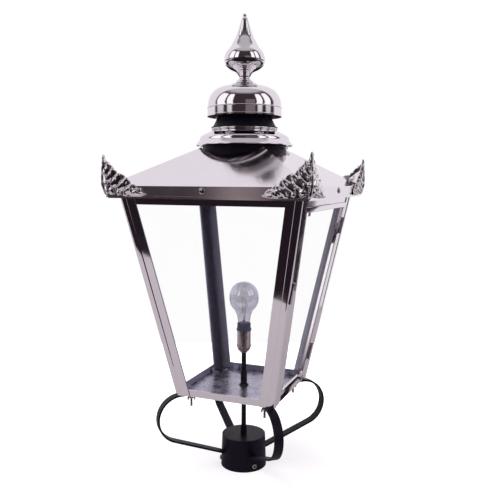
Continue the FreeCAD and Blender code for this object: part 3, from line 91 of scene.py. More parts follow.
class Field:
    """A socket of a node tree. Arithmetic on it adds Math nodes."""

    def __init__(self, tree, socket):
        self.tree = tree
        self.socket = socket

    def math(self, operation, *others):
        """One Math node, with this value as its first."""
        return add_node(self.tree, "ShaderNodeMath", {"operation": operation}, self, *others)

    def __add__(self, other):
        return self.math("ADD", other)

    def __radd__(self, other):
        return self.math("ADD", other)

    def __sub__(self, other):
        return self.math("SUBTRACT", other)

    def __rsub__(self, other):
        return add_node(self.tree, "ShaderNodeMath", {"operation": "SUBTRACT"}, other, self)

    def __mul__(self, other):
        return self.math("MULTIPLY", other)

    def __rmul__(self, other):
        return self.math("MULTIPLY", other)

    def __truediv__(self, other):
        return self.math("DIVIDE", other)

    def __pow__(self, other):
        return self.math("POWER", other)

    def step(self, low, high):
        """0 below low, 1 above high, and a smooth rise between."""
        return add_node(self.tree, "ShaderNodeMapRange", {"interpolation_type": "SMOOTHSTEP"},
                        self, low, high)

    def band(self, low, high, soft):
        """1 between low and high, with both edges this soft."""
        return self.step(low - soft, low + soft) * (1 - self.step(high - soft, high + soft))

    def off(self, low, high):
        """How far off the middle of a span, 1 at its two ends, raised for rounded corners."""
        return ((self - (low + high) / 2).math("ABSOLUTE") / ((high - low) / 2)) ** 5

    def part(self, name):
        """Another output of the node that this socket belongs to."""
        return Field(self.tree, self.socket.node.outputs[name])

    def mixed(self, low, high):
        """The colour between two colours, this value being the way from low to high."""
        node = self.tree.nodes.new("ShaderNodeMix")
        node.data_type = "RGBA"
        join(self.tree, self, node.inputs[0])
        join(self.tree, low, node.inputs[6])
        join(self.tree, high, node.inputs[7])
        return Field(self.tree, node.outputs[2])


def join(tree, value, socket):
    """Feed a socket from a field, or set it to a plain value."""
    if isinstance(value, Field):
        tree.links.new(value.socket, socket)
    elif isinstance(value, tuple) and len(value) == 3 and len(socket.default_value) == 4:
        socket.default_value = (*value, 1)
    else:
        socket.default_value = value


def add_node(tree, kind, settings, *inputs, **named):
    """Add a node: settings first, then its inputs in order or by name."""
    node = tree.nodes.new(kind)
    for key, value in settings.items():
        setattr(node, key, value)
    for socket, value in zip(node.inputs, inputs):
        join(tree, value, socket)
    for key, value in named.items():
        join(tree, value, node.inputs[key.replace("_", " ")])
    return Field(tree, node.outputs[0]) if node.outputs else node


def seen_through(tree):
    """1 for the rays that come from the camera, straight or through clear material."""
    rays = add_node(tree, "ShaderNodeLightPath", {})
    return rays.part("Is Camera Ray").math("MAXIMUM", rays.part("Is Transmission Ray"))


BLACK = (0.0, 0.0, 0.0)
WHITE = (1.0, 1.0, 1.0)
DARK_ROOM = (0.042, 0.030, 0.037)
DEEP_ROOM = (0.016, 0.010, 0.015)
DIM_CEILING = (0.50, 0.475, 0.51)
PALE_WALL = (0.84, 0.80, 0.855)
GREY_SCREEN = (0.17, 0.145, 0.16)
LAMP_STAND = (0.30, 0.24, 0.25)
SOFT_BOX = (1.12, 1.10, 1.13)
EVEN_LIGHT = (0.62, 0.61, 0.63)

# Bearings go round to the right from the camera's side, elevations up from level, in degrees.
SOFT_BOX_BEARINGS = ((-97, -63), (-58, -36), (38, 59), (65, 91))
SOFT_BOX_FOOT, SOFT_BOX_TOP = 5, 49
BOX_EDGE_FROM, BOX_EDGE_TO = 0.3, 1.3
SCREEN_LEFT, SCREEN_RIGHT, SCREEN_FOOT, SCREEN_TOP = 3, 33, -6, 21
STAND_LEFT, STAND_RIGHT, STAND_FOOT, STAND_TOP = -47, -43, -4.5, 8
SOFT, STAND_SOFT = 2, 1.8
CEILING_FROM = 56
WALL_FROM = 103
LOW_FROM, LOW_TO = -2, -6
GAP_FROM, GAP_TO, GAP_LEAN = 141.3, 150, 0.25

world = bpy.data.worlds.new("studio")
world.use_nodes = True
bpy.context.scene.world = world
sky = world.node_tree
sky.nodes.clear()
toward = Vector((math.sin(VIEW_BEARING), -math.cos(VIEW_BEARING), 0))
across = Vector((math.cos(VIEW_BEARING), math.sin(VIEW_BEARING), 0))
direction = add_node(sky, "ShaderNodeTexCoord", {}).part("Generated")
near, side = (
    add_node(sky, "ShaderNodeVectorMath", {"operation": "DOT_PRODUCT"}, direction, way).part("Value")
    for way in (toward, across))
rise = add_node(sky, "ShaderNodeSeparateXYZ", {}, direction).part("Z")
bearing = side.math("ARCTAN2", near) * math.degrees(1)
elevation = rise.math("ARCSINE") * math.degrees(1)
turned = bearing.math("ABSOLUTE")

boxes = 0
for left, right in SOFT_BOX_BEARINGS:
    edge = bearing.off(left, right) + elevation.off(SOFT_BOX_FOOT, SOFT_BOX_TOP)
    boxes = (1 - edge.step(BOX_EDGE_FROM, BOX_EDGE_TO)) + boxes
screen = bearing.band(SCREEN_LEFT, SCREEN_RIGHT, SOFT) * elevation.band(SCREEN_FOOT, SCREEN_TOP, SOFT)
stand = bearing.band(STAND_LEFT, STAND_RIGHT, STAND_SOFT) * elevation.band(STAND_FOOT, STAND_TOP, SOFT)
ceiling = elevation.step(CEILING_FROM - 8, CEILING_FROM + 10)

# Low down the wall is dark, apart from a leaning gap behind the lantern.
low = 1 - elevation.step(LOW_TO, LOW_FROM)
gap = (turned + GAP_LEAN * elevation).step(GAP_FROM, GAP_FROM + 0.7)
gap = gap * (1 - turned.step(GAP_TO - 1, GAP_TO + 1))
wall = turned.step(WALL_FROM - 5, WALL_FROM + 5) * (1 - low * (1 - gap))

room = ceiling.mixed(low.mixed(DARK_ROOM, DEEP_ROOM), DIM_CEILING)
for share, tone in ((wall, PALE_WALL), (screen, GREY_SCREEN), (stand, LAMP_STAND),
                    (boxes, SOFT_BOX)):
    room = share.mixed(room, tone)
diffuse = add_node(sky, "ShaderNodeLightPath", {}).part("Is Diffuse Ray")
backdrop = seen_through(sky).mixed(diffuse.mixed(room, EVEN_LIGHT), WHITE)
background = add_node(sky, "ShaderNodeBackground", {}, backdrop, 1.0)
add_node(sky, "ShaderNodeOutputWorld", {}, background)

TABLE_FRONT, TABLE_BACK, TABLE_SIDE = 0.65, -1.0, 6.0
TABLE_PAINT = (0.53, 0.49, 0.52)
GLOW_NEAR, GLOW_FAR = (0.64, 0.64, 0.64), (1.24, 1.24, 1.24)
GLOW_FROM, GLOW_FULL = 0.12, 0.45
table_mesh = bpy.data.meshes.new("table")
table_mesh.from_pydata(
    [toward * depth + across * width for depth, width in
     ((TABLE_FRONT, -TABLE_SIDE), (TABLE_FRONT, TABLE_SIDE),
      (TABLE_BACK, TABLE_SIDE), (TABLE_BACK, -TABLE_SIDE))],
    [], [(0, 1, 2, 3)])
table_paint = bpy.data.materials.new("white_table")
table_paint.use_nodes = True
tree = table_paint.node_tree
tree.nodes.clear()
spot = add_node(tree, "ShaderNodeTexCoord", {}).part("Object")
reach = add_node(tree, "ShaderNodeVectorMath", {"operation": "LENGTH"}, spot).part("Value")
glow = seen_through(tree).mixed(BLACK, reach.step(GLOW_FROM, GLOW_FULL).mixed(GLOW_NEAR, GLOW_FAR))
matt = add_node(tree, "ShaderNodeBsdfDiffuse", {}, TABLE_PAINT)
lit = add_node(tree, "ShaderNodeEmission", {}, glow, 1.0)
add_node(tree, "ShaderNodeOutputMaterial", {}, add_node(tree, "ShaderNodeAddShader", {}, matt, lit))
table_mesh.materials.append(table_paint)
table = placed("table", table_mesh)


def soft_lamp(name, place, target, size, watts):
    """A round soft lamp that lights the lantern and is not seen, also not in the metal."""
    lamp = bpy.data.lights.new(name, "AREA")
    lamp.shape = "DISK"
    lamp.size = size
    lamp.energy = watts
    holder = placed(name, lamp)
    turn = (Vector(target) - Vector(place)).to_track_quat("-Z", "Y").to_matrix().to_4x4()
    holder.matrix_world = Matrix.Translation(place) @ turn
    holder.visible_glossy = False
    holder.visible_camera = False


soft_lamp("key_lamp", (-1.6, -1.8, 2.6), (0, 0, 0.3), 1.6, 46)
soft_lamp("fill_lamp", (2.4, -1.0, 1.6), (0, 0, 0.3), 1.6, 16)


# ---- Post socket -----------------------------------------
# The round cup that drops over the post, with a flat closed top. It is turned from steel
# and powder coated satin black, as are the straps and the stem.

def principled(name, metallic, **constants):
    """A material with one principled shader; constants go on its own sockets."""
    material = bpy.data.materials.new(name)
    material.use_nodes = True
    tree = material.node_tree
    tree.nodes.clear()
    shader = tree.nodes.new("ShaderNodeBsdfPrincipled")
    shader.inputs["Metallic"].default_value = metallic
    for key, value in constants.items():
        join(tree, value, shader.inputs[key.replace("_", " ")])
    add_node(tree, "ShaderNodeOutputMaterial", {}, Field(tree, shader.outputs[0]))
    return material, tree, shader


def place_on(tree):
    """Where a point lies on the object itself."""
    return add_node(tree, "ShaderNodeTexCoord", {}).part("Object")


def grain(tree, where, scale, detail):
    """Even noise, 0 to 1, with features about 1 / scale metres across."""
    return add_node(tree, "ShaderNodeTexNoise", {}, Vector=where, Scale=scale, Detail=detail)


def bumped(tree, shader, height, distance, strength):
    """Give a shader fine relief; distance is the height of the relief in metres."""
    bump = add_node(tree, "ShaderNodeBump", {}, Height=height, Distance=distance, Strength=strength)
    join(tree, bump, shader.inputs["Normal"])


def clouded(name, metallic, cloud, tints, roughness, bump=None, **constants):
    """A finish whose colour and roughness drift between two values with one even noise.

    cloud is the noise's scale and detail; roughness is the lowest value and the span. bump is
    (scale, detail) of a noise of its own, or None for the same noise, then height and strength.
    """
    material, tree, shader = principled(name, metallic, **constants)
    where = place_on(tree)
    patch = grain(tree, where, *cloud)
    join(tree, patch.mixed(*tints), shader.inputs["Base Color"])
    join(tree, roughness[0] + roughness[1] * patch, shader.inputs["Roughness"])
    if bump:
        fine, height, strength = bump
        bumped(tree, shader, grain(tree, where, *fine) if fine else patch, height, strength)
    return material


# Satin powder coat: near black, with the fine orange peel of the coat and rubbed high spots.
BLACK_COAT = clouded(
    "black_coat", 0.0, (60, 2.0), ((0.0030, 0.0018, 0.0050), (0.0080, 0.0056, 0.0125)), (0.34, 0.14),
    ((1400, 1.0), 0.00005, 0.5), IOR=1.26, Specular_Tint=(0.86, 0.76, 1.0))


def finish_node(name, material):
    """Give a CAD node its finish."""
    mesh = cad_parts[name].data
    mesh.materials.clear()
    mesh.materials.append(material)


ARC_STEP = math.radians(6)


def arc_between(start, end, radius):
    """Points on a short arc after start, up to end; its centre is left of the way if radius > 0."""
    chord = Vector(end) - Vector(start)
    span = chord.length
    rise = math.sqrt(max(radius * radius - span * span / 4, 0))
    middle = (Vector(start) + Vector(end)) / 2
    left = Vector((-chord.y, chord.x)) / span
    centre = middle + left * (rise if radius > 0 else -rise)
    first = math.atan2(start[1] - centre.y, start[0] - centre.x)
    last = math.atan2(end[1] - centre.y, end[0] - centre.x)
    sweep = (last - first + math.pi) % (2 * math.pi) - math.pi
    count = max(2, math.ceil(abs(sweep) / ARC_STEP))
    return [(centre.x + abs(radius) * math.cos(first + sweep * i / count),
             centre.y + abs(radius) * math.sin(first + sweep * i / count)) for i in range(1, count + 1)]


def profile(points):
    """Millimetre outline to metres; a third number makes the stretch that ends there an arc."""
    path = []
    for i, point in enumerate(points):
        before = points[i - 1]
        if len(point) == 3 and i:
            path += arc_between(before[:2], point[:2], point[2])
        else:
            path.append(point[:2])
    if len(points[0]) == 3:
        path = arc_between(points[-1][:2], points[0][:2], points[0][2])[:-1] + path
    return [(r / 1000, z / 1000) for r, z in path]


def mesh_object(name, mesh, body, material, sharp):
    """Link a finished mesh as a piece. None leaves the mesh's own material or smoothing."""
    if material:
        mesh.materials.clear()
        mesh.materials.append(material)
    if sharp:
        mesh.shade_smooth()
        mesh.set_sharp_from_angle(angle=math.radians(sharp))
    piece = placed(name, mesh)
    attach(piece, body)
    return piece


def as_mesh(name, shape):
    """A finished bmesh as a mesh."""
    mesh = bpy.data.meshes.new(name)
    shape.to_mesh(mesh)
    shape.free()
    return mesh


def skin(shape, rings):
    """Faces between each ring of vertices and the next; a ring may be one vertex repeated."""
    made = []
    for ring, following in zip(rings, rings[1:]):
        for i in range(len(ring)):
            j = (i + 1) % len(ring)
            corners = list(dict.fromkeys((ring[i], ring[j], following[j], following[i])))
            if len(corners) > 2:
                made.append(shape.faces.new(corners))
    return made


def lathe_mesh(name, outline, segments=144):
    """Turn a closed outline (radius, level) about the axis of the lantern."""
    shape = bmesh.new()
    rings = []
    for radius, level in outline:
        if radius < 1e-6:
            rings.append([shape.verts.new((0, 0, level))] * segments)
            continue
        turns = [2 * math.pi * i / segments for i in range(segments)]
        rings.append([shape.verts.new((radius * math.cos(turn), radius * math.sin(turn), level))
                      for turn in turns])
    skin(shape, rings + rings[:1])
    bmesh.ops.recalc_face_normals(shape, faces=shape.faces)
    return as_mesh(name, shape)


def cleaned(node):
    """A CAD node's surface as one merged mesh."""
    shape = bmesh.new()
    shape.from_mesh(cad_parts[node].data)
    bmesh.ops.remove_doubles(shape, verts=shape.verts, dist=2e-6)
    bmesh.ops.dissolve_degenerate(shape, dist=1e-6, edges=shape.edges)
    bmesh.ops.join_triangles(shape, faces=shape.faces, angle_face_threshold=math.radians(0.2),
                             angle_shape_threshold=math.radians(180))
    return as_mesh(node + "_surface", shape)


def evaluated(carrier):
    """The mesh that a helper object makes with its modifiers."""
    graph = bpy.context.evaluated_depsgraph_get()
    return bpy.data.meshes.new_from_object(carrier.evaluated_get(graph))


def baked(name, mesh, *modifiers):
    """The mesh with modifiers applied; each is a type and its settings."""
    carrier = placed(name + "_carrier", mesh)
    for kind, settings in modifiers:
        modifier = carrier.modifiers.new(kind.lower(), kind)
        for key, value in settings.items():
            setattr(modifier, key, value)
    result = evaluated(carrier)
    bpy.data.objects.remove(carrier)
    result.name = name
    return result


FOLD_ANGLE = math.radians(28)
SHARP_ANGLE = math.radians(35)


def softened(node, body, material, width, name=None, reshape=None):
    """A CAD node with its folds and edges rounded, in place of the plain solid."""
    name = name or node + "_finished"
    mesh = cleaned(node)
    if reshape:
        for vertex in mesh.vertices:
            vertex.co = reshape(vertex.co)
    mesh = baked(node + "_rounded", mesh, ("BEVEL", {
        "width": width, "segments": 2, "limit_method": "ANGLE", "angle_limit": FOLD_ANGLE,
        "use_clamp_overlap": True, "miter_outer": "MITER_ARC"}))
    mesh.shade_smooth()
    mesh.set_sharp_from_angle(angle=SHARP_ANGLE)
    mesh = baked(name, mesh, ("WEIGHTED_NORMAL", {"keep_sharp": True, "weight": 60}))
    piece = mesh_object(name, mesh, body, material, None)
    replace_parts(piece, node)
    return piece


softened("post_socket", "lantern", BLACK_COAT, 0.0012, "socket_cup")

# Beads of weld join the straps to the socket.
WELD_AZIMUTHS = (-52, -32)
WELD_REACH, WELD_LEVEL, WELD_RADIUS, WELD_STAGGER = 0.0462, 0.0365, 0.0016, 0.0005
weld = bmesh.new()
for azimuth in WELD_AZIMUTHS:
    turn = Matrix.Rotation(math.radians(azimuth), 4, "Z")
    for step in range(3):
        spot = (WELD_REACH, WELD_RADIUS * (step - 1), WELD_LEVEL + WELD_STAGGER * (step % 2))
        bmesh.ops.create_icosphere(weld, subdivisions=2, radius=WELD_RADIUS,
                                   matrix=turn @ Matrix.Translation(spot))
mesh_object("strap_welds", as_mesh("strap_welds", weld), "lantern", BLACK_COAT, 60)


# ---- Set screws ------------------------------------------
# Three bright zinc plated screws clamp the post near the foot of the socket. They have no
# head, and a hexagon recess in the outer end.

# Bright plate with a faint cloudiness and fine turning marks.
BRIGHT_PLATE = clouded("bright_plate", 1.0, (300, 2.0), ((0.24, 0.21, 0.21), (0.60, 0.56, 0.56)),
                       (0.12, 0.14), ((2500, 1.0), 0.00003, 0.4))


def turned_source(name, outline, segments=32, along_x=False):
    """A small turned piece about its own axis, to be repeated."""
    mesh = lathe_mesh(name, [(r / 1000, z / 1000) for r, z in outline], segments)
    if along_x:
        mesh.transform(Matrix.Rotation(math.radians(90), 4, "Y"))
    return mesh


def ring_of(name, source, count, radius, level, first, material):
    """Copies of a source mesh round the axis, spread by a geometry node tree."""
    tree = bpy.data.node_groups.new(name + "_spread", "GeometryNodeTree")
    sockets = {}
    tree.interface.new_socket("Geometry", in_out="INPUT", socket_type="NodeSocketGeometry")
    for label, kind in (("Count", "NodeSocketInt"), ("Circle", "NodeSocketFloat"),
                        ("Level", "NodeSocketFloat"), ("First angle", "NodeSocketFloat")):
        sockets[label] = tree.interface.new_socket(label, in_out="INPUT", socket_type=kind)
    tree.interface.new_socket("Geometry", in_out="OUTPUT", socket_type="NodeSocketGeometry")
    given = tree.nodes.new("NodeGroupInput").outputs
    circle = add_node(tree, "GeometryNodeMeshCircle", {}, Field(tree, given["Count"]),
                      Field(tree, given["Circle"]))
    lift = add_node(tree, "ShaderNodeCombineXYZ", {}, 0.0, 0.0, Field(tree, given["Level"]))
    turn = add_node(tree, "ShaderNodeCombineXYZ", {}, 0.0, 0.0, Field(tree, given["First angle"]))
    ring = add_node(tree, "GeometryNodeTransform", {}, circle, Translation=lift, Rotation=turn)
    spot = add_node(tree, "GeometryNodeInputPosition", {})
    way = add_node(tree, "ShaderNodeSeparateXYZ", {}, spot)
    facing = add_node(tree, "ShaderNodeCombineXYZ", {}, 0.0, 0.0,
                      way.part("Y").math("ARCTAN2", way.part("X")))
    copies = add_node(tree, "GeometryNodeInstanceOnPoints", {}, ring,
                      Instance=Field(tree, given["Geometry"]), Rotation=facing)
    solid = add_node(tree, "GeometryNodeRealizeInstances", {}, copies)
    painted = add_node(tree, "GeometryNodeSetMaterial", {}, solid, Material=material)
    add_node(tree, "NodeGroupOutput", {}, painted)
    carrier = placed(name + "_carrier", source)
    modifier = carrier.modifiers.new("spread", "NODES")
    modifier.node_group = tree
    for label, value in (("Count", count), ("Circle", radius), ("Level", level),
                         ("First angle", first)):
        modifier[sockets[label].identifier] = value
    mesh = evaluated(carrier)
    carrier.modifiers.remove(modifier)
    bpy.data.objects.remove(carrier)
    mesh.name = name
    return mesh


def recessed_screw(radius, low, high, across, depth):
    """A headless screw along X with a hexagon recess in its outer end, in millimetres."""
    shape = bmesh.new()
    sides = 24

    def rim(x, size, hexagon=False):
        """A round ring, or a hexagonal one whose flats are this far from the axis."""
        ring = []
        for i in range(sides):
            angle = 2 * math.pi * i / sides
            reach = size / 1000
            if hexagon:
                reach /= math.cos((angle + math.pi / 6) % (math.pi / 3) - math.pi / 6)
            spot = (x / 1000, reach * math.cos(angle), reach * math.sin(angle))
            ring.append(shape.verts.new(spot))
        return ring

    rings = [rim(low, radius - 1.2), rim(low + 1.5, radius - 0.1), rim(high - 0.7, radius),
             rim(high - 0.2, radius - 0.25), rim(high, radius - 0.8),
             rim(high, across / 2 + 0.25, True), rim(high - 0.3, across / 2, True),
             rim(high - depth, across / 2, True)]
    shape.faces.new(rings[0])
    shape.faces.new(rings[-1])
    skin(shape, rings)
    bmesh.ops.recalc_face_normals(shape, faces=shape.faces)
    return as_mesh("screw_source", shape)


def ring_piece(name, node, source, count, circle, level, first, sharp):
    """A ring of bright plated copies in place of a CAD node."""
    mesh = ring_of(name, source, count, circle, level, first, BRIGHT_PLATE)
    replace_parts(mesh_object(name, mesh, "lantern", None, sharp), node)


# A circle this small only turns the copies: each source stands at its own distance.
ON_AXIS = 0.0001
SCREW_LEVEL = 0.0115
SCREW_FIRST = math.radians(-41)
ring_piece("post_set_screws", "socket_set_screws", recessed_screw(5.0, 39.3, 50.6, 4.6, 3.5), 3,
           ON_AXIS, SCREW_LEVEL, SCREW_FIRST, 40)


# ---- Leg straps ------------------------------------------
# Four flat steel bars, bent out from the socket and in again under the body, powder
# coated black. Their edges are rounded by the coat.

# The corners in their order round the lantern, seen from above against the clock.
CORNERS = ("front_right", "back_right", "back_left", "front_left")
for corner in CORNERS:
    softened(f"leg_strap_{corner}", "lantern", BLACK_COAT, 0.0007, f"strap_{corner}")


# ---- Bolts, washers and wing nuts ------------------------
# Each strap hangs on one zinc plated bolt through floor and frame, with a washer and a
# pressed wing nut below.

BOLT_CIRCLE = 0.115
BOLT_FIRST = math.radians(-47)
THREAD_TURNS, THREAD_PITCH = 24, 0.8
thread = [(0.0, 174.6), (1.6, 174.4), (3.4, 173.7), (4.6, 172.7), (4.95, 171.9), (4.9, 171.0),
          (2.5, 171.0), (2.5, 161.0)]
for turn in range(THREAD_TURNS):
    thread += [(2.15, 160.7 - THREAD_PITCH * turn), (2.5, 160.3 - THREAD_PITCH * turn)]
thread += [(2.1, 141.0), (0.0, 141.0)]
washer = [(2.7, 165.4), (2.9, 165.5), (5.8, 165.5), (6.0, 165.3), (6.0, 164.5), (5.8, 164.3),
          (2.9, 164.3), (2.7, 164.4)]
ring_piece("strap_bolts", "leg_bolts", turned_source("bolt_source", thread, 20), 4, BOLT_CIRCLE, 0.0,
           BOLT_FIRST, 30)
ring_piece("strap_washers", "leg_washers", turned_source("washer_source", washer), 4, BOLT_CIRCLE, 0.0,
           BOLT_FIRST, 40)


EAR = [(2.6, 163.0), (4.6, 162.7), (6.4, 161.3), (8.0, 159.3), (8.7, 156.9), (8.3, 154.6),
       (7.0, 153.2), (5.6, 153.6), (4.9, 155.4), (4.2, 157.6), (2.7, 158.4)]
EAR_REACH, EAR_LEVEL = 5.6, 158


def wing_nut_mesh(name, azimuth, twist):
    """Pressed wing nut: a tapered hub and two rounded ears that lean down and out."""
    mesh = turned_source(name, [(2.65, 164.0), (4.3, 164.0), (4.5, 163.6), (4.1, 160.0), (3.5, 157.2),
                                (3.1, 156.8), (2.65, 156.9)], 28)
    shape = bmesh.new()
    shape.from_mesh(mesh)
    for way in (1, -1):
        rings = []
        for across, shrink in ((-0.9, 0.86), (-0.55, 1.0), (0.55, 1.0), (0.9, 0.86)):
            rings.append([
                shape.verts.new((across / 1000, way * (EAR_REACH + (y - EAR_REACH) * shrink) / 1000,
                                 (EAR_LEVEL + (z - EAR_LEVEL) * shrink) / 1000)) for y, z in EAR])
        ends = [shape.faces.new(rings[0]), shape.faces.new(rings[-1])]
        bmesh.ops.recalc_face_normals(shape, faces=ends + skin(shape, rings))
    shape.to_mesh(mesh)
    shape.free()
    mesh.transform(Matrix.Rotation(azimuth, 4, "Z") @ Matrix.Translation((BOLT_CIRCLE, 0, 0))
                   @ Matrix.Rotation(math.radians(twist), 4, "Z"))
    return mesh


NUT_TWISTS = (12, 35, -50, 78)
for order, (corner, twist) in enumerate(zip(CORNERS, NUT_TWISTS)):
    name = f"wings_{corner}"
    wings = mesh_object(name, wing_nut_mesh(name, BOLT_FIRST + order * math.pi / 2, twist),
                        f"nut_{corner}", BRIGHT_PLATE, 38)
    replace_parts(wings, f"wing_nut_{corner}")


# ---- Stem ------------------------------------------------
# A black coated steel tube, held by a nut in the socket, rises through the floor. It has a
# short collar on the socket, a longer sleeve above the floor and a rubber ring in the floor.

for node in ("stem_tube", "stem_collar", "stem_sleeve", "stem_jam_nut"):
    softened(node, "lantern", BLACK_COAT, 0.0003)

RING_RUBBER = clouded("ring_rubber", 0.0, (900, 2.0), ((0.012, 0.012, 0.013), (0.035, 0.034, 0.036)),
                      (0.62, 0.2), IOR=1.5)
softened("floor_grommet", "lantern", RING_RUBBER, 0.0003)


# ---- Base frame and floor --------------------------------
# Polished sheet, folded into a square tray frame that is dull inside and painted in shade there,
# with a loose floor sheet that has gone cloudy under the lamp.

def polished(name, low_tint, high_tint, gloss, wave, wave_scale):
    """Mirror polished plate: clean, very faintly wavy as sheet is, with haze in patches."""
    material, tree, shader = principled(name, 1.0)
    where = place_on(tree)
    haze = grain(tree, where, 22, 4.0)
    fine = grain(tree, where, 420, 3.0)
    join(tree, haze.mixed(low_tint, high_tint), shader.inputs["Base Color"])
    patch = haze.step(0.42, 0.72)
    join(tree, gloss + 0.035 * patch + 0.02 * fine, shader.inputs["Roughness"])
    swell = grain(tree, where, wave_scale, 0.0)
    bumped(tree, shader, swell + 0.01 * fine, wave, 0.35)
    return material


SHEET_POLISH = polished("sheet_polish", (0.85, 0.81, 0.835), (0.91, 0.875, 0.895), 0.03, 0.0005, 14.0)

# The inside of the sheet: dull and a little blotchy; its dark slate grey is painted shade for the
# inside of the body.
PAINTED_SHADE_INSIDE = clouded("painted_shade_inside", 1.0, (60, 3.0), ((0.30, 0.28, 0.40), (0.42, 0.39, 0.53)),
                      (0.46, 0.16), (None, 0.0004, 0.4))
INWARD = 0.25


def paint_inward_faces(piece, material):
    """Give the faces that look towards the axis a material that paints the shade, and on one post the
    light, inside the body.
    """
    piece.data.materials.append(material)
    for face in piece.data.polygons:
        inward = -Vector((face.center.x, face.center.y, 0)).normalized()
        if face.normal.dot(inward) > INWARD:
            face.material_index = 1


def floor_polish():
    """Floor sheet gone dull: cloudy, with water marks and small bright specks."""
    material, tree, shader = principled("floor_polish", 1.0)
    where = place_on(tree)
    cloud = grain(tree, where, 40, 5.0)
    speck = grain(tree, where, 420, 2.0)
    mark = (0.55 * cloud + 0.45 * speck).step(0.38, 0.62)
    join(tree, mark.mixed((0.27, 0.26, 0.35), (0.58, 0.56, 0.66)), shader.inputs["Base Color"])
    join(tree, 0.17 + 0.22 * mark, shader.inputs["Roughness"])
    bumped(tree, shader, cloud + 0.3 * speck, 0.0006, 0.5)
    return material


# The inside of the frame gets the dark slate of the inside sheet, painted shade.
paint_inward_faces(softened("base_frame", "lantern", SHEET_POLISH, 0.0005), PAINTED_SHADE_INSIDE)
softened("floor_pan", "lantern", floor_polish(), 0.0002)


# ---- Corner posts and head frame -------------------------
# Each post is one folded strip of polished sheet with a raised bead round the corner; the
# head frame is a folded ring on the posts that the roof sits on.

# The inside of the post by the door's hinges is painted pale lavender grey, painted light where it
# catches the light; the other posts are painted in shade inside.
PAINTED_LIGHT_INSIDE = clouded("painted_light_inside", 0.3, (60, 3.0), ((0.52, 0.50, 0.61), (0.66, 0.64, 0.76)),
                      (0.40, 0.16), (None, 0.0003, 0.4))
for corner in CORNERS:
    post = softened(f"corner_post_{corner}", "lantern", SHEET_POLISH, 0.00035)
    paint_inward_faces(post, PAINTED_LIGHT_INSIDE if corner == "back_right" else PAINTED_SHADE_INSIDE)
softened("top_frame", "lantern", SHEET_POLISH, 0.0004)


# ---- Glass -----------------------------------------------
# Three fixed panes and the door's pane, of clear float glass, each held by small clips that
# are folded from sheet.

def clear_pane():
    """Float glass: almost nothing but a faint reflection that grows at low angles."""
    material, tree, shader = principled("clear_pane", 0.0, IOR=1.5, Roughness=0.01)
    where = place_on(tree)
    smear = grain(tree, where, 12, 3.0)
    edge = add_node(tree, "ShaderNodeLayerWeight", {}, 0.25).part("Facing")
    join(tree, smear.mixed((0.50, 0.52, 0.54), (0.62, 0.65, 0.67)), shader.inputs["Base Color"])
    join(tree, 0.004 + 0.006 * smear + 0.12 * edge ** 4, shader.inputs["Alpha"])
    return material


CLEAR_PANE = clear_pane()
for node in ("glass_front", "glass_back", "glass_left", "door_glass"):
    finish_node(node, CLEAR_PANE)

SILL_LEVEL, SILL_SHARE = 0.1722, 0.45
HEAD_LEVEL, HEAD_SHARE = 0.571, 0.6


def short_clip(point):
    """Keep the clips behind sill and head rail: the lower ones 8 mm high, the upper ones 12 mm."""
    if point.z < (SILL_LEVEL + HEAD_LEVEL) / 2:
        level = SILL_LEVEL + (point.z - SILL_LEVEL) * SILL_SHARE
    else:
        level = HEAD_LEVEL - (HEAD_LEVEL - point.z) * HEAD_SHARE
    return Vector((point.x, point.y, level))


# The clips get the dark slate of the inside sheet, painted shade.
softened("glazing_clips", "lantern", PAINTED_SHADE_INSIDE, 0.0002, "pane_clips", short_clip)
softened("door_glass_clips", "door", PAINTED_SHADE_INSIDE, 0.0002)


# ---- Door ------------------------------------------------
# The right face opens: a frame of polished sheet on two butt hinges at its back edge, with
# a stop strip and a small plated turn bar on the front post.

softened("door_frame", "door", SHEET_POLISH, 0.0006)
softened("hinge_door_leaves", "door", SHEET_POLISH, 0.0002)
softened("hinge_post_leaves", "lantern", SHEET_POLISH, 0.0002)
softened("hinge_pins", "lantern", BRIGHT_PLATE, 0.0003)
# The stop strip also gets the dark slate of the inside sheet, painted shade.
softened("door_stop", "lantern", PAINTED_SHADE_INSIDE, 0.0002)
softened("latch_bar", "latch", BRIGHT_PLATE, 0.0004)
softened("latch_pivot", "lantern", BRIGHT_PLATE, 0.0006)


# ---- Roof ------------------------------------------------
# A low pyramid of polished sheet with an upright fascia and a rolled lip. It sits on the
# head frame, and one round headed screw in the middle of each side holds it.

ROOF_POLISH = polished("roof_polish", (0.85, 0.81, 0.835), (0.91, 0.875, 0.895), 0.10, 0.0003, 12.0)
softened("roof_shell", "lantern", ROOF_POLISH, 0.0016)
FASCIA = 197.0
screw = [(0.0, FASCIA - 9), (2.0, FASCIA - 9), (2.0, FASCIA), (5.9, FASCIA), (6.0, FASCIA + 0.3),
         (5.5, FASCIA + 1.1), (4.3, FASCIA + 1.9), (2.4, FASCIA + 2.45), (0.0, FASCIA + 2.6)]
EAVE_SCREW_LEVEL = 0.5835
ring_piece("eave_screws", "fascia_screws", turned_source("screw_source", screw, 28, True), 4, ON_AXIS,
           EAVE_SCREW_LEVEL, 0.0, 50)


# ---- Corner ornaments ------------------------------------
# Cast leaf ornaments wrap the corners of the eaves: on each wing a fan of veined leaf
# lobes, two scrolls and small beads stand on a thin plate, with a rib up the corner.

CAST_POLISH = polished("cast_polish", (0.74, 0.70, 0.72), (0.95, 0.92, 0.94), 0.05, 0.0005, 120.0)
PLATE_BACK = 198.4
CORNER_EDGE = 203.4
LEAF_BOTTOM = 571.5
LEAF_SPAN = 92.0
LEAF_HEIGHT = 79.5

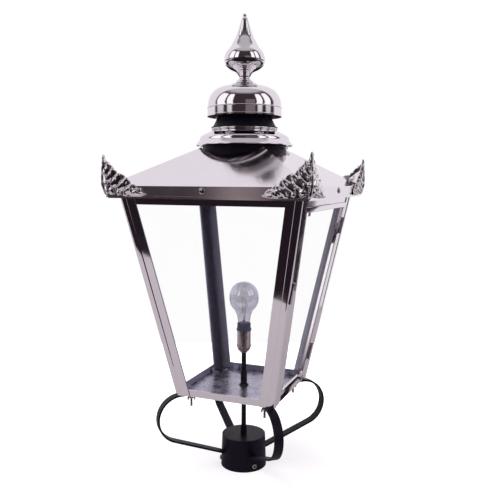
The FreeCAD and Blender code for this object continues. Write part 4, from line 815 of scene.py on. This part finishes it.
# root, tip, half width, height above the plate, bend to the left of its way, depth of the vein
LOBES = (
    ((3, 50), (3.5, 78.5), 4.2, 4.6, 0.0, 0.0), ((5, 38), (13.5, 65.5), 6.0, 5.4, -0.10, 0.2),
    ((8, 28), (24.5, 54.5), 7.5, 5.0, -0.12, 0.3), ((16, 18), (37, 44.5), 8.5, 5.2, -0.12, 0.35),
    ((30, 13), (54, 36), 8.0, 5.0, -0.12, 0.35), ((44, 7), (66, 24), 6.5, 5.0, -0.10, 0.3),
    ((60, 4), (79, 17), 5.0, 4.4, -0.08, 0.2), ((70, 3), (91, 5), 3.6, 4.2, 0.0, 0.1))
SCROLLS = ((17, 11, 7.2, 1.8), (60, 13, 4.8, 1.9))
BEADS = ((6.5, 24, 5.0), (17, 11, 6.4), (33, 7.5, 5.2), (47, 5.5, 4.4), (8, 44, 4.0), (28, 24, 4.6),
         (44, 19, 4.2), (58, 8, 3.8), (7.5, 57, 3.2), (20, 37, 4.0), (72, 8, 3.0))


def leaf_outline():
    """Face view of a wing: distance from the corner edge and level, in millimetres."""
    h, w, e = LEAF_HEIGHT, LEAF_SPAN, CORNER_EDGE
    shape = [(0, 0), (0, 0.85 * h), (0.02 * w, h, 0.75 * h), (0.14 * w, 0.825 * h, 0.33 * h),
             (0.26 * w, 0.685 * h, 0.115 * h), (0.37 * w, 0.57 * h, 0.1 * h),
             (0.575 * w, 0.46 * h, 0.15 * h), (0.695 * w, 0.31 * h, 0.125 * h),
             (0.85 * w, 0.22 * h, 0.115 * h), (w, 0.08 * h, 0.14 * h), (0.935 * w, 0, 0.09 * h)]
    path = profile([(e - point[0], *point[1:]) for point in shape])
    return [(e - x * 1000, z * 1000) for x, z in path]


# Steps, sides and millimetre limits of the plate, the leaves, the rib and the tucked foot.
PLATE_SHARE_ALONG, PLATE_SHARE_UP, PLATE_THICK = 0.93, 0.90, 1.6
LOBE_STEPS, LOBE_WIDE, LOBE_UNDER = 14, 10, (0.7, 0.0, -0.7)
LOBE_LIMIT, LOBE_FOOT, LOBE_BACK = 7.0, 1.4, 0.8
SCROLL_STEPS, SCROLL_ROUND, SCROLL_FROM, SCROLL_SWEEP, SCROLL_LIMIT = 40, 8, 200, 600, 7.1
BEAD_FOOT, BEAD_BACK, BEAD_HEIGHT, BEAD_ROUND = 1.4, 1.0, 0.85, 12
RIB_STEPS, RIB_ROUND, RIB_RADIUS, RIB_LIMIT = 24, 12, 3.4, 205.5
TUCK, TUCK_HEIGHT, TUCK_SPREAD = 5.6, 24, 16
VOXEL = 0.0008


def leaf_plate(shape, point):
    """The thin plate that the leaves stand on."""
    edge = leaf_outline()
    back, front = ([point(along * PLATE_SHARE_ALONG, up * PLATE_SHARE_UP, out) for along, up in edge]
                   for out in (0, PLATE_THICK))
    shape.faces.new(back)
    shape.faces.new(front)
    skin(shape, (back, front))


def leaf_lobe(shape, point, root, tip, half_width, proud, bend, vein_depth):
    """One rounded lobe along a bent spine, with a vein down its middle."""
    start, end = Vector(root), Vector(tip)
    way = end - start
    middle = (start + end) / 2 + Vector((-way.y, way.x)) * bend
    rings = []
    for step in range(LOBE_STEPS + 1):
        t = step / LOBE_STEPS
        spine = start * (1 - t) ** 2 + middle * (2 * t * (1 - t)) + end * t * t
        if step in (0, LOBE_STEPS):
            out = 2.0 + (0.4 * proud if step else 0)
            rings.append([point(spine.x, spine.y, out)] * (LOBE_WIDE + len(LOBE_UNDER)))
            continue
        onward = ((middle - start) * (1 - t) + (end - middle) * t).normalized()
        normal = Vector((-onward.y, onward.x))
        width = half_width * math.sin(math.pi * t ** 0.7) ** 0.75 * (1 + 0.07 * math.sin(t * 17))
        lift = proud * (0.5 + 0.5 * math.sin(math.pi * t ** 0.9))
        lift += 1.2 * math.exp(-((t - 0.84) / 0.1) ** 2)
        ring = []
        for k in range(LOBE_WIDE):
            u = -1 + 2 * k / (LOBE_WIDE - 1)
            crown = (1 - abs(u) ** 2.2) * lift
            vein = 1.8 * vein_depth * math.exp(-(u / 0.30) ** 2) * math.sin(math.pi * t)
            place = spine + normal * (u * width)
            ring.append(point(place.x, place.y, min(LOBE_LIMIT, LOBE_FOOT + crown - vein)))
        for u in LOBE_UNDER:
            place = spine + normal * (u * width)
            ring.append(point(place.x, place.y, LOBE_BACK))
        rings.append(ring)
    skin(shape, rings)


def leaf_scroll(shape, point, along, up, radius, wire):
    """A scroll that winds in and rises to its eye."""
    rings = []
    for step in range(SCROLL_STEPS + 1):
        t = step / SCROLL_STEPS
        angle = math.radians(SCROLL_FROM) + t * math.radians(SCROLL_SWEEP)
        reach = radius * (1 - 0.78 * t)
        thick = wire * (1 - 0.45 * t)
        rise = 2.6 + 2.4 * t
        ring = []
        for k in range(SCROLL_ROUND):
            around = 2 * math.pi * k / SCROLL_ROUND
            size = reach + thick * math.cos(around)
            ring.append(point(along + size * math.cos(angle), up + size * math.sin(angle),
                              min(SCROLL_LIMIT, rise + thick * 1.2 * math.sin(around))))
        rings.append(ring)
    first, last = ([shape.verts.new(sum((v.co for v in end), Vector()) / SCROLL_ROUND)] * SCROLL_ROUND
                   for end in (rings[0], rings[-1]))
    skin(shape, [first, *rings, last])


def leaf_bead(shape, point, along, up, radius):
    """A round bead, a little flattened."""
    rings = [[point(along, up, BEAD_FOOT + BEAD_HEIGHT * radius)] * BEAD_ROUND]
    for tilt in (25, 50, 72, 90):
        reach = radius * math.sin(math.radians(tilt))
        rise = BEAD_FOOT + BEAD_HEIGHT * radius * math.cos(math.radians(tilt))
        turns = [2 * math.pi * k / BEAD_ROUND for k in range(BEAD_ROUND)]
        rings.append([point(along + reach * math.cos(turn), up + reach * math.sin(turn), rise)
                      for turn in turns])
    rings.append([point(along, up, BEAD_BACK)] * BEAD_ROUND)
    skin(shape, rings)


def corner_rib(shape):
    """The rib that covers the corner edge between the wings."""
    rings = []
    for step in range(RIB_STEPS + 1):
        t = step / RIB_STEPS
        radius = RIB_RADIUS * (1 - 0.62 * t) * (1 + 0.10 * math.sin(t * 30))
        middle = 202.0 - 0.5 * t + 1.2 * math.sin(math.pi * t)
        level = LEAF_BOTTOM + 0.6 + t * (LEAF_HEIGHT - 0.8)
        if step in (0, RIB_STEPS):
            rings.append([shape.verts.new((middle, -middle, level))] * RIB_ROUND)
            continue
        ring = []
        for k in range(RIB_ROUND):
            around = 2 * math.pi * k / RIB_ROUND
            ring.append(shape.verts.new((min(RIB_LIMIT, middle + radius * math.cos(around)),
                                         max(-RIB_LIMIT, -middle + radius * math.sin(around)), level)))
        rings.append(ring)
    skin(shape, rings)


def casting_mesh(name, quarter):
    """One ornament: two wings of leaves, a rib up the corner, and a foot that is tucked in."""
    shape = bmesh.new()

    def front_point(along, up, out):
        """A vertex of the wing on the front."""
        return shape.verts.new((CORNER_EDGE - along, -(PLATE_BACK + out), LEAF_BOTTOM + up))

    def side_point(along, up, out):
        """A vertex of the wing on the right side."""
        return shape.verts.new((PLATE_BACK + out, -(CORNER_EDGE - along), LEAF_BOTTOM + up))

    for point in (front_point, side_point):
        leaf_plate(shape, point)
        for part, pieces in ((leaf_lobe, LOBES), (leaf_scroll, SCROLLS), (leaf_bead, BEADS)):
            for numbers in pieces:
                part(shape, point, *numbers)
    corner_rib(shape)
    bmesh.ops.recalc_face_normals(shape, faces=shape.faces)

    for vertex in shape.verts:
        up = vertex.co.z - LEAF_BOTTOM
        along = CORNER_EDGE - min(vertex.co.x, -vertex.co.y)
        if up < TUCK_HEIGHT:
            pull = TUCK * ((TUCK_HEIGHT - up) / TUCK_HEIGHT) ** 1.4
            pull *= math.exp(-max(along, 0) / TUCK_SPREAD)
            vertex.co.x -= pull
            vertex.co.y += pull
    mesh = as_mesh(name, shape)
    mesh.transform(Matrix.Scale(0.001, 4))
    mesh.transform(Matrix.Rotation(quarter * math.pi / 2, 4, "Z"))
    voxels = {"mode": "VOXEL", "voxel_size": VOXEL, "use_smooth_shade": True}
    return baked(name, mesh, ("REMESH", voxels), ("SMOOTH", {"factor": 0.5, "iterations": 10}))


for quarter, corner in enumerate(CORNERS):
    name = f"leaf_casting_{corner}"
    casting = mesh_object(name, casting_mesh(name, quarter), "lantern",
                          CAST_POLISH, 80)
    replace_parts(casting, f"corner_ornament_{corner}")


# ---- Chimney, crown and finial ---------------------------
# Pieces that stand on the roof: a black coated collar and vent ring, a skirt and a crown
# spun from polished sheet, and a turned finial. A rod through them all draws them down.

SPUN_POLISH = polished("spun_polish", (0.85, 0.81, 0.835), (0.91, 0.88, 0.90), 0.05, 0.0002, 40.0)
SHELL = 1.2
ROD = 3.2
COLLAR_SHARE = 0.92


def turned_piece(name, node, outline):
    """A spun or turned piece in place of a CAD node."""
    piece = mesh_object(name, lathe_mesh(name, profile(outline)), "lantern", SPUN_POLISH, 50)
    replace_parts(piece, node)


def drawn_in(point):
    """The collar stands a little nearer the axis than the solid's, its foot under the sheet."""
    return Vector((point.x * COLLAR_SHARE, point.y * COLLAR_SHARE, point.z))


softened("roof_collar", "lantern", BLACK_COAT, 0.0003, reshape=drawn_in)

gallery = lathe_mesh("vent_ring", profile([
    (67.0, 707.0), (67.0, 708.0), (66.4, 708.2), (64.2, 708.2), (54.3, 727.5), (53.1, 727.5),
    (62.8, 707.0)]))
band = lathe_mesh("vent_band", profile([
    (49.6, 736.6), (46.4, 742.0), (3.4, 742.0), (3.4, 740.8), (45.8, 740.8), (48.4, 736.6)]))
SLAT_COUNT, SLAT_REACH, SLAT_LEVEL, SLAT_LEAN = 24, 0.0514, 0.7320, math.radians(-27)
SLAT_SIZE = (0.0012, 0.0052, 0.0125, 1)
slat = bmesh.new()
bmesh.ops.create_cube(slat, size=1, matrix=(
    Matrix.Translation((SLAT_REACH, 0, SLAT_LEVEL)) @ Matrix.Rotation(SLAT_LEAN, 4, "Y")
    @ Matrix.Diagonal(SLAT_SIZE)))
slats = ring_of("vent_slats", as_mesh("slat_source", slat), SLAT_COUNT, ON_AXIS, 0.0, 0.0, BLACK_COAT)
vent = bmesh.new()
for mesh in (gallery, band, slats):
    vent.from_mesh(mesh)
vents = mesh_object("vent_ring", as_mesh("vent_ring_pierced", vent), "lantern",
                    BLACK_COAT, 40)
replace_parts(vents, "vent_gallery")

turned_piece("skirt", "chimney_skirt", [
    (46.0, 705.8), (46.0, 707.0), (62.5, 707.0), (64.6, 706.8, -2), (66.6, 705.0, -1.9),
    (65.2, 702.9, -1.9), (66.0, 701.7, 1.2), (68.0, 700.0), (72.0, 697.6), (81.0, 693.6),
    (86.5, 690.2), (89.4, 687.2, -6), (90.4, 683.2, -9), (91.6, 680.6, 6), (94.6, 677.2),
    (97.2, 673.6), (98.0, 671.8, -2), (98.0, 671.0), (96.8, 671.0), (96.2, 672.8), (93.7, 676.3),
    (90.4, 680.2), (89.2, 683.2), (88.2, 686.2), (85.7, 688.7), (80.4, 692.2), (71.6, 696.2),
    (65.6, 699.8), (63.8, 702.6), (64.4, 704.2), (62.4, 705.7)])

rim, low, step, top = 75.0, 729.0, 748.0, 789.5
turned_piece("crown", "crown_dome", [
    (rim - SHELL, low), (rim, low), (rim, low + 2.2), (rim - 0.5, low + 3.4, 1.2),
    (rim - 0.5, step - 2.4), (rim, step - 1.2, 1.2), (rim - 1.4, step, -1.6), (rim - 13, step + 31, 40),
    (rim - 43, top - 0.4, 46), (rim - 47, top, 20), (ROD, top), (ROD, top - SHELL),
    (rim - 47, top - SHELL), (rim - 43.2, top - 1.6, -20), (rim - 13.7, step + 30, -45),
    (rim - 2.6, step - 0.6, -39), (rim - SHELL - 0.6, step - 2.4)])

foot, neck, belly, base, level, tip = 28.0, 11.0, 41.0, 789.5, 840.0, 931.0
turned_piece("turned_finial", "finial", [
    (ROD, base), (foot, base), (foot, base + 2.5, 1.5), (foot - 4, base + 5, 6),
    (neck + 7, base + 8, -12), (neck + 5.5, base + 10.5, 3), (neck, base + 17, -8),
    (neck + 2, base + 21.5, -9), (neck + 10, level - 21, -14), (belly - 5.5, level - 12.5, 40),
    (belly - 0.8, level - 3, 14), (belly, level, 6), (belly - 3.0, level + 13, 34),
    (33.4, level + 19.8, 34), (29.0, level + 25.0), (24.8, level + 32.0, -200), (20.7, level + 40.0),
    (16.9, level + 47.2, -30), (12.7, level + 59.4), (9.6, level + 69.6, -200), (6.9, level + 79.0),
    (4.9, level + 83.8), (2.7, level + 85.6, -4), (3.5, level + 88.4, 2.6), (2.6, level + 90.3, 2.6),
    (0, tip, 4.24), (0, base + 28), (ROD, base + 28)])

for node in ("tie_rod", "tie_rod_nut", "bridge_bar", "crown_spacer"):
    softened(node, "lantern", BRIGHT_PLATE, 0.0003)


# ---- Lampholder ------------------------------------------
# A bayonet lampholder of nickel plated sheet, gone a little brown, screwed on the stem: lower
# cap, barrel with a grey blue moulded ring, and a black moulded block with two contacts.

HOLDER_PLATE = clouded("holder_plate", 1.0, (240, 3.0), ((0.44, 0.36, 0.34), (0.74, 0.66, 0.63)),
                       (0.14, 0.16), (None, 0.0004, 0.5))
SLATE_RING = clouded("slate_ring", 0.0, (500, 2.0), ((0.030, 0.030, 0.060), (0.062, 0.060, 0.105)),
                     (0.36, 0.16), IOR=1.5)
MOULDED_BLACK = clouded("moulded_black", 0.0, (700, 2.0),
                        ((0.020, 0.018, 0.024), (0.050, 0.046, 0.058)), (0.34, 0.2), IOR=1.5)
RING_TOP, RING_SHARE_ROUND, RING_SHARE_UP = 0.306, 0.97, 0.72


def short_ring(point):
    """The ring is a little smaller than the solid's and keeps its top."""
    return Vector((point.x * RING_SHARE_ROUND, point.y * RING_SHARE_ROUND,
                   RING_TOP - (RING_TOP - point.z) * RING_SHARE_UP))


softened("lampholder_cap", "lantern", HOLDER_PLATE, 0.0003, "holder_cap")
softened("lampholder_barrel", "lantern", HOLDER_PLATE, 0.0002, "holder_barrel")
softened("shade_ring", "lantern", SLATE_RING, 0.0003, "holder_ring", short_ring)
softened("lampholder_insulator", "lantern", MOULDED_BLACK, 0.0003, "holder_block")
finish_node("lamp_contacts", BRIGHT_PLATE)


# ---- Lamp ------------------------------------------------
# A clear pear shaped lamp of blown glass, whose bayonet cap twists into the holder. Inside,
# a coiled tungsten filament hangs between two wires on a stem.

def lamp_glass():
    """Clear blown glass, which darkens where it turns away."""
    material, tree, shader = principled("lamp_glass", 0.6, IOR=1.6, Roughness=0.03)
    where = place_on(tree)
    film = grain(tree, where, 80, 2.0)
    edge = add_node(tree, "ShaderNodeLayerWeight", {}, 0.4).part("Facing")
    join(tree, film.mixed((0.70, 0.66, 0.90), (0.84, 0.80, 1.0)), shader.inputs["Base Color"])
    join(tree, 0.29 + 0.04 * film + 0.16 * edge ** 2, shader.inputs["Alpha"])
    return material


finish_node("bulb_glass", lamp_glass())
finish_node("bulb_cap", BRIGHT_PLATE)


def wire_mesh(name, strands):
    """Round wires through points in millimetres; each strand is a radius and its points."""
    parts = bmesh.new()
    for radius, points in strands:
        curve = bpy.data.curves.new(name + "_wire", "CURVE")
        curve.dimensions = "3D"
        curve.bevel_depth = radius / 1000
        curve.bevel_resolution = 2
        curve.use_fill_caps = True
        spline = curve.splines.new("POLY")
        spline.points.add(len(points) - 1)
        for knot, point in zip(spline.points, points):
            knot.co = (*(value / 1000 for value in point), 1)
        carrier = placed(name + "_wire", curve)
        parts.from_mesh(evaluated(carrier))
        bpy.data.objects.remove(carrier)
    return as_mesh(name, parts)


# Tungsten and nickel wire, grey and a little burnt.
WIRE_GREY = clouded("wire_grey", 0.8, (300, 2.0), ((0.02, 0.02, 0.035), (0.07, 0.065, 0.10)),
                    (0.35, 0.2))
COIL_STEPS, COIL_WIDTH, COIL_LEVEL, COIL_SAG, COIL_RADIUS = 48, 8.4, 359.5, 4.0, 0.5
coil = []
for turn in range(COIL_STEPS + 1):
    sway = math.sin(math.pi * turn / COIL_STEPS)
    coil.append((-COIL_WIDTH / 2 + COIL_WIDTH * turn / COIL_STEPS,
                 1.6 * sway + COIL_RADIUS * math.cos(turn * 2.1),
                 COIL_LEVEL - COIL_SAG * sway + COIL_RADIUS * math.sin(turn * 2.1)))
strands = [(2.3, [(0, 0, 281.0), (0, 0, 298.0), (0, 0, 309.0)]),
           (1.5, [(0, 0, 309.0), (0, 0, 318.0)]),
           (0.6, [(-1.4, 0, 300.0), (-1.6, 0, 319.0), (-3.2, 0, 334.0), (-4.4, 0, 352.0),
                  (-4.2, 0, 360.0)]),
           (0.6, [(1.4, 0, 300.0), (1.6, 0, 319.0), (3.0, 0, 334.0), (4.4, 0, 352.0),
                  (4.2, 0, 360.0)]),
           (0.28, [(0, 0, 318.0), (0, 0.8, 336.0), (0, 1.6, 355.0)]),
           (0.22, coil)]
lamp_wires = mesh_object("lamp_wires", wire_mesh("lamp_wires", strands), "lamp",
                         WIRE_GREY, 60)
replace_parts(lamp_wires, "bulb_filament")
